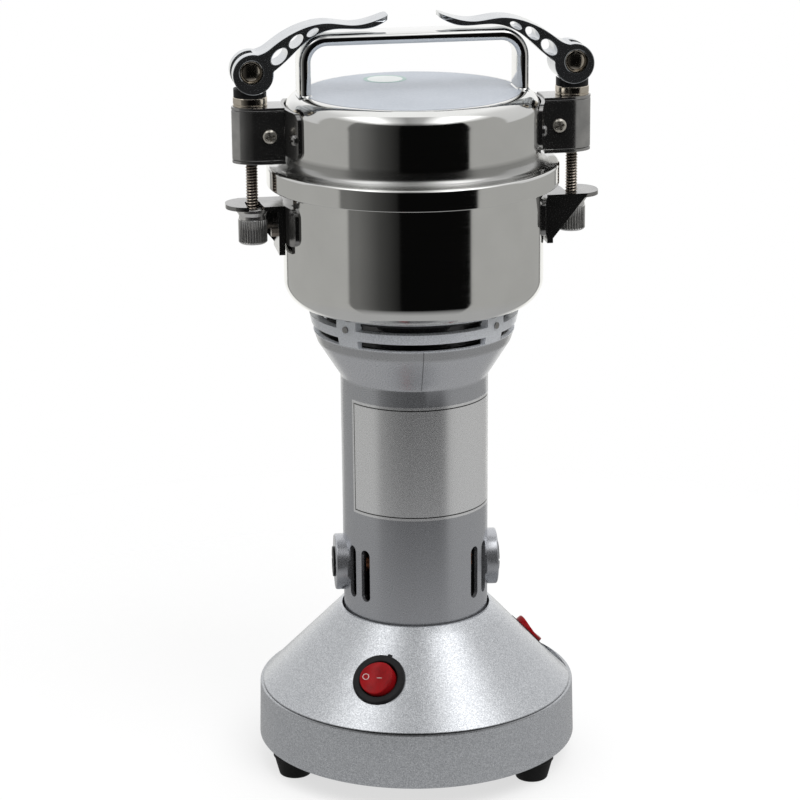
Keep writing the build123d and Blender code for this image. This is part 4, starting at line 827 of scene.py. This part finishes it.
labelLook = {"radius": 31.78, "draft": 0.00474, "low": 117.8, "high": 168.3, "from": -61.7, "to": 76.0, "thick": 0.12,
             "cols": 97, "rows": 25, "inset": 1.4, "ink": (0.2, 0.3), "inkTone": (0.05, 0.05, 0.05, 1), "grain": 2600,
             "stretch": (1, 1, 0.7), "foil": ((0.84, 0.845, 0.86), (0.92, 0.925, 0.94)), "rough": (0.22, 0.32),
             "metal": 0.78, "lift": 1e-6}


def labelFinish(name, look):
    # bare silver foil with a thin dark border line inset from its edge, drawn on the piece's own map
    finish, tree, shader = newFinish(name)
    layer = addNode(tree, "UVMap", uv_map="labelMap")
    across, up, _ = parted(tree, layer.outputs[0])
    halfWide = math.radians(look["to"] - look["from"]) * look["radius"] / 2
    halfTall = (look["high"] - look["low"]) / 2
    edge = calc(tree, "MINIMUM", calc(tree, "SUBTRACT", halfWide, calc(tree, "ABSOLUTE", across)),
                calc(tree, "SUBTRACT", halfTall, calc(tree, "ABSOLUTE", up)))
    line = calc(tree, "ABSOLUTE", calc(tree, "SUBTRACT", edge, look["inset"]))
    grain = noiseField(tree, look["grain"], look["stretch"])
    ink = between(tree, line, 1, 0, span=look["ink"])
    setSockets(tree, shader, {"Base Color": mixed(tree, ink, drifted(tree, grain, look["foil"]), look["inkTone"]),
                              "Roughness": between(tree, grain, *look["rough"]), "Metallic": look["metal"]})
    lift(tree, shader, grain, look["lift"])
    return finish


def labelPiece(look):
    # a patch of the tube's own cone, one skin outside and one just inside, mapped in millimetres
    cols, rows, start, end, low, high = pick(look, "cols rows from to low high")
    angle = np.radians(np.linspace(start, end, cols)) + bodyTurn
    height = np.linspace(low, high, rows)[:, None]
    radius = look["radius"] + look["draft"] * (height - low)
    outer = roundGrid(radius, angle - math.pi / 2, height)
    inner = outer * ((radius - look["thick"]) / radius)[..., None] ** (1, 1, 0)
    points = np.concatenate([outer.reshape(-1, 3), inner.reshape(-1, 3)])
    skin = gridFaces(rows, cols, False, False)
    rim = np.concatenate([np.arange(cols), np.arange(1, rows) * cols + cols - 1,
                          (rows - 1) * cols + np.arange(cols - 2, -1, -1), np.arange(rows - 2, 0, -1) * cols])
    after = np.roll(rim, -1)
    count = rows * cols
    edge = np.stack([rim, after, after + count, rim + count], 1)
    piece = putPiece("labelPlate", points, np.concatenate([skin, skin + count, edge]), "labelFoil", "motor_housing",
                     False)
    spread = readPoints(piece.data) * 1000
    turn = np.degrees(np.arctan2(spread[:, 0], -spread[:, 1]) - bodyTurn)
    middle = (start + end) / 2
    flat = np.stack([np.radians(turn - middle) * look["radius"], spread[:, 2] - (low + high) / 2], 1)
    corners = np.empty(len(piece.data.loops), int)
    piece.data.loops.foreach_get("vertex_index", corners)
    layer = piece.data.uv_layers.new(name="labelMap")
    layer.data.foreach_set("uv", flat[corners].ravel())


finishes["labelFoil"] = labelFinish("labelFoil", labelLook)
labelPiece(labelLook)

footLook = {"corners": ((0, 0), (6.8, 0), (9.0, 8.4), (9.5, 8.9), (9.5, 11.0), (0, 11.0)),
            "rounds": (0, 1.2, 1.0, 0.3, 0.2, 0), "circle": 59.9, "turn": 77.5}
for index in range(3):
    way = math.radians(footLook["turn"] + 120 * index)
    middle = (footLook["circle"] * math.cos(way), footLook["circle"] * math.sin(way), 0)
    turnedPiece(f"foot{index + 1}", cornerOutline(footLook, 6, False), "blackRubber",
                f"foot_{index + 1}", steps=72, place=placeAt(middle, (1, 0, 0), (0, 0, 1)), closed=False)
print("tube and base made")


# switches

rockerLooks = {
    "front": {"radius": 7.5, "bezel": 2.0, "waist": 1.0, "horn": 2.6, "depth": 3.5, "edge": 0.5, "tilt": 9.0,
              "bezelRadius": 11.5, "hole": 8.1, "slope": coneSlope},
    "side": {"radius": 7.2, "bezel": 0.5, "waist": 1.3, "horn": 2.5, "depth": 3.5, "edge": 0.9, "tilt": 4.0,
             "bezelRadius": 9.8, "hole": 8.0, "slope": facetSlope}}
bezelLook = {"under": -0.3, "wall": 1.2, "well": -8.0, "low": -14.0, "innerRound": 0.3, "outerRound": 0.5}


def rockerTop(x, look):
    # the dished crown's height: the waist plus the horns' rise by x squared over radius squared
    return look["bezel"] + look["waist"] + (look["horn"] - look["waist"]) * (x / look["radius"]) ** 2


def rockerGrid(look, flat=0.94, steps=96):
    # a round button under the crown, whose edge falls away along a quarter round
    share = np.concatenate([np.linspace(0, flat, 16), (0.965, 0.985, 1.0)])[:, None]
    angle = around(steps)
    x, y = share * look["radius"] * np.cos(angle), share * look["radius"] * np.sin(angle)
    soft = np.clip((share - flat) / (1 - flat), 0, 1)
    top = np.stack([x, y, rockerTop(x, look) - look["edge"] * (1 - np.sqrt(1 - soft ** 2))], -1)
    wall = top[-1:] * (1, 1, 0) - (0, 0, look["depth"])
    return np.concatenate([top, wall, wall * (0, 0, 1)])


def rockerPlace(name, look):
    # the switch's place, and the rocker's at rest, leant round the switch's Y axis
    tilt = math.radians(look["tilt"])
    lean = np.eye(4)
    lean[:3, :3] = ((math.cos(tilt), 0, -math.sin(tilt)), (0, 1, 0), (math.sin(tilt), 0, math.cos(tilt)))
    place = switchPlace(name + "_rocker_tip", look["slope"])
    return place, place @ lean


def bezelOutline(look, bezel):
    # the raised ring round the rocker's hole, and the body that runs down into the cover
    hole, outer, high = look["hole"], look["bezelRadius"], look["bezel"]
    wall, well, low, under = hole + bezel["wall"], bezel["well"], bezel["low"], bezel["under"]
    return roundedOutline(
        ((hole, well), (hole, high), (outer, high), (outer, under), (wall, under), (wall, low), (0, low), (0, well)),
        (0, high * bezel["innerRound"], high * bezel["outerRound"], 0, 0, 0, 0, 0), 8)


for name, look in rockerLooks.items():
    switchAt, rockerAt = rockerPlace(name, look)
    gridPiece(name + "RockerCap", placed(rockerGrid(look), rockerAt), "redPlastic", name + "_rocker", sharp=40)
    turnedPiece(name + "Bezel", bezelOutline(look, bezelLook), "blackPlastic", name + "_switch_body", place=switchAt)

frontLook = rockerLooks["front"]
switchAt, rockerAt = rockerPlace("front", frontLook)

# the key that stops the switch from turning
keyLook = {"wide": 2.0, "out": 0.9, "in": 1.8, "thick": 1.2, "edge": 0.1, "turn": -11.6}
points, faces = flatPlate([boxOutline(-keyLook["wide"] / 2, keyLook["wide"] / 2, -keyLook["in"], keyLook["out"])],
                          keyLook["thick"], keyLook["edge"])
points += (0, frontLook["bezelRadius"], keyLook["thick"] / 2)
keyTurn = math.radians(keyLook["turn"])
keyAt = switchAt @ placeAt((0, 0, 0), (math.cos(keyTurn), math.sin(keyTurn), 0), (0, 0, 1))
putPiece("frontKey", placed(points, keyAt), faces, "blackPlastic", "front_switch_body", False)

markLook = {"ringX": -4.9, "ringRadius": 1.4, "dashX": 1.3, "dashHalf": 1.2, "stroke": 0.27, "thick": 0.12}
circle, halfStroke = rays(around(40)), markLook["stroke"] / 2
ringMark = [circle * markLook["ringRadius"], circle * (markLook["ringRadius"] - markLook["stroke"])]
dashMark = [boxOutline(-markLook["dashHalf"], markLook["dashHalf"], -halfStroke, halfStroke)]
for name, outlines, shift in (("offMark", ringMark, markLook["ringX"]), ("onMark", dashMark, markLook["dashX"])):
    points, faces = flatPlate(outlines, markLook["thick"], 0.0)
    points[:, 0] += shift
    points[:, 2] += rockerTop(points[:, 0], frontLook)
    putPiece(name, placed(points, rockerAt), faces, "paleMark", "front_rocker", False)
print("switches made")

# the nodes inside, which show as they are
insideFinish = {"dark_sheet": "darkSheet", "machined_steel": "machinedSteel", "copper": "copperWire",
                "black_plastic": "blackPlastic", "seal_rubber": "sealRubber"}
for node, piece in nodes.items():
    if node not in dressed:
        piece.data.materials.clear()
        piece.data.materials.append(finishes[insideFinish[slotOf[node]]])


# floor, light and camera

viewLook = {"turn": -9.5, "distance": 1.193, "height": 0.513, "pitch": 16.3667, "yaw": -0.2994, "roll": -0.458,
            "lens": 129.15, "sensor": 36.0, "far": 20.0}


def viewPlace(look):
    # turned round the object, moved off and up, panned by yaw, tipped down from level by pitch, then rolled
    turn, yaw, pitch, roll = np.radians(pick(look, "turn yaw pitch roll"))
    place = Matrix.Rotation(turn, 4, "Z") @ Matrix.Translation((0, -look["distance"], look["height"]))
    place = place @ Matrix.Rotation(-yaw, 4, "Z") @ Matrix.Rotation(math.pi / 2 - pitch, 4, "X")
    return place @ Matrix.Rotation(roll, 4, "Z")


cameraData = bpy.data.cameras.new("photoCamera")
cameraData.lens, cameraData.sensor_width, cameraData.clip_end = viewLook["lens"], viewLook["sensor"], viewLook["far"]
camera = bpy.data.objects.new("photoCamera", cameraData)
camera.matrix_world = viewPlace(viewLook)
scene.collection.objects.link(camera)
scene.camera = camera

# the floor shows paler than it lights the piece, and fades out before its edge
floorLook = {"radius": (0, 100, 500), "steps": 96, "paint": (0.32, 0.32, 0.32, 1), "glow": 0.68, "shine": 0.43,
             "fade": (0.2, 0.42)}
white = (1, 1, 1, 1)
floorGrid = turnedGrid(np.pad(np.array(floorLook["radius"])[:, None], ((0, 0), (0, 1))), floorLook["steps"])
floorMesh = newMesh("floor", floorGrid, gridFaces(*floorGrid.shape[:2]))
floor = bpy.data.objects.new("floor", floorMesh)
scene.collection.objects.link(floor)
floorFinish, tree, shader = newFinish("paleFloor")
tree.nodes.remove(shader)
path = addNode(tree, "LightPath").outputs
glow = calc(tree, "MULTIPLY", path["Is Camera Ray"], floorLook["glow"])
paint = addNode(tree, "BsdfDiffuse", {"Color": floorLook["paint"]})
shine = addNode(tree, "Emission", {"Color": white, "Strength": glow})
lit = addNode(tree, "AddShader", {0: paint.outputs[0], 1: shine.outputs[0]})
dim = addNode(tree, "Emission", {"Color": white, "Strength": floorLook["shine"]})
lit = addNode(tree, "MixShader", {0: path["Is Glossy Ray"], 1: lit.outputs[0], 2: dim.outputs[0]})
gone = between(tree, vectorCalc(tree, "LENGTH", ownPlace(tree)), 0, 1, span=floorLook["fade"])
clear = addNode(tree, "BsdfTransparent")
fading = addNode(tree, "MixShader", {0: gone, 1: lit.outputs[0], 2: clear.outputs[0]})
tree.links.new(fading.outputs[0], tree.nodes["Material Output"].inputs["Surface"])
floorMesh.materials.append(floorFinish)

# panels stand at degrees from the camera's side, round to the right; ceiling and backdrop run from left to right,
# as -1 to 1; the grey levels are linear
roomLook = {
    "panels": ((-180, 1.0), (-153, 1.0), (-150, 0.08), (-147, 0.44), (-59.5, 0.44), (-58.3, 0.17), (-50, 0.16),
               (-30, 0.06), (-12.5, 0.016), (-11, 0.003), (50.5, 0.003), (52.5, 0.42), (147, 0.42), (150, 0.08),
               (153, 1.0), (180, 1.0)),
    "ceiling": ((-1, 0.7), (-0.75, 0.9), (-0.44, 2.1), (-0.24, 0.8), (-0.06, 0.34), (0.12, 0.5), (0.3, 1.5),
                (0.42, 2.7), (0.62, 1.6), (0.85, 0.9), (1, 0.8)),
    "backdrop": ((-1, 0.66), (-0.62, 0.74), (-0.35, 1.05), (0.35, 1.05), (0.62, 0.74), (1, 0.66)),
    "warm": (1.0, 0.995, 0.965), "behind": (0.0, 0.07), "above": (-0.02, 0.05), "overhead": (0.58, 0.8)}
world = bpy.data.worlds.new("studio")
world.use_nodes = True
scene.world = world
tree = world.node_tree
spin = math.radians(viewLook["turn"])
wayX, wayY, wayZ = parted(tree, addNode(tree, "TexCoord").outputs["Generated"])
angle = calc(tree, "ARCTAN2", wayX, calc(tree, "MULTIPLY", wayY, -1.0))
bearing = between(tree, calc(tree, "ADD", angle, -spin), 0, 1, span=(-math.pi, math.pi))
panels = shade(tree, bearing, [((place + 180) / 360, tuple(level * part for part in roomLook["warm"]))
                               for place, level in roomLook["panels"]])
depth = calc(tree, "MULTIPLY_ADD", wayY, math.cos(spin), calc(tree, "MULTIPLY", wayX, -math.sin(spin)))
sideways = calc(tree, "MULTIPLY_ADD", wayY, math.sin(spin), calc(tree, "MULTIPLY", wayX, math.cos(spin)))
across = between(tree, sideways, 0, 1, span=(-1, 1))
ceiling, backdrop = (shade(tree, across, [((place + 1) / 2, (level,) * 3) for place, level in roomLook[part]])
                     for part in ("ceiling", "backdrop"))
room = mixed(tree, between(tree, wayZ, 0, 1, span=roomLook["overhead"]), panels, ceiling)
screened = calc(tree, "MULTIPLY", between(tree, depth, 0, 1, span=roomLook["behind"]),
                between(tree, wayZ, 0, 1, span=roomLook["above"]))
room = mixed(tree, screened, room, backdrop)
seen = mixed(tree, addNode(tree, "LightPath").outputs["Is Camera Ray"], room, white)
setSockets(tree, tree.nodes["Background"], {"Color": seen, "Strength": 1.0})

lampLooks = {
    "softLamp": {"spot": (0.35, -1.1, 1.6), "aim": (0, 0, 0.16), "size": 1.4, "power": 14.0},
    "fillLamp": {"spot": (0.1, -1.7, 0.3), "aim": (0, 0, 0.17), "size": 1.1, "power": 4.2}}
for name, look in lampLooks.items():
    lampData = bpy.data.lights.new(name, "AREA")
    lampData.shape, lampData.size, lampData.energy = "DISK", look["size"], look["power"]
    lamp = bpy.data.objects.new(name, lampData)
    toward = unit(np.array(look["aim"]) - look["spot"])
    right = unit(np.cross(toward, (0, 0, 1)))
    axes = np.stack([right, np.cross(right, toward), -toward, look["spot"]], 1)
    lamp.matrix_world = Matrix([*axes.tolist(), (0, 0, 0, 1)])
    lamp.visible_glossy = False
    scene.collection.objects.link(lamp)
scene.view_settings.view_transform = "Standard"
print("floor, light and camera set")
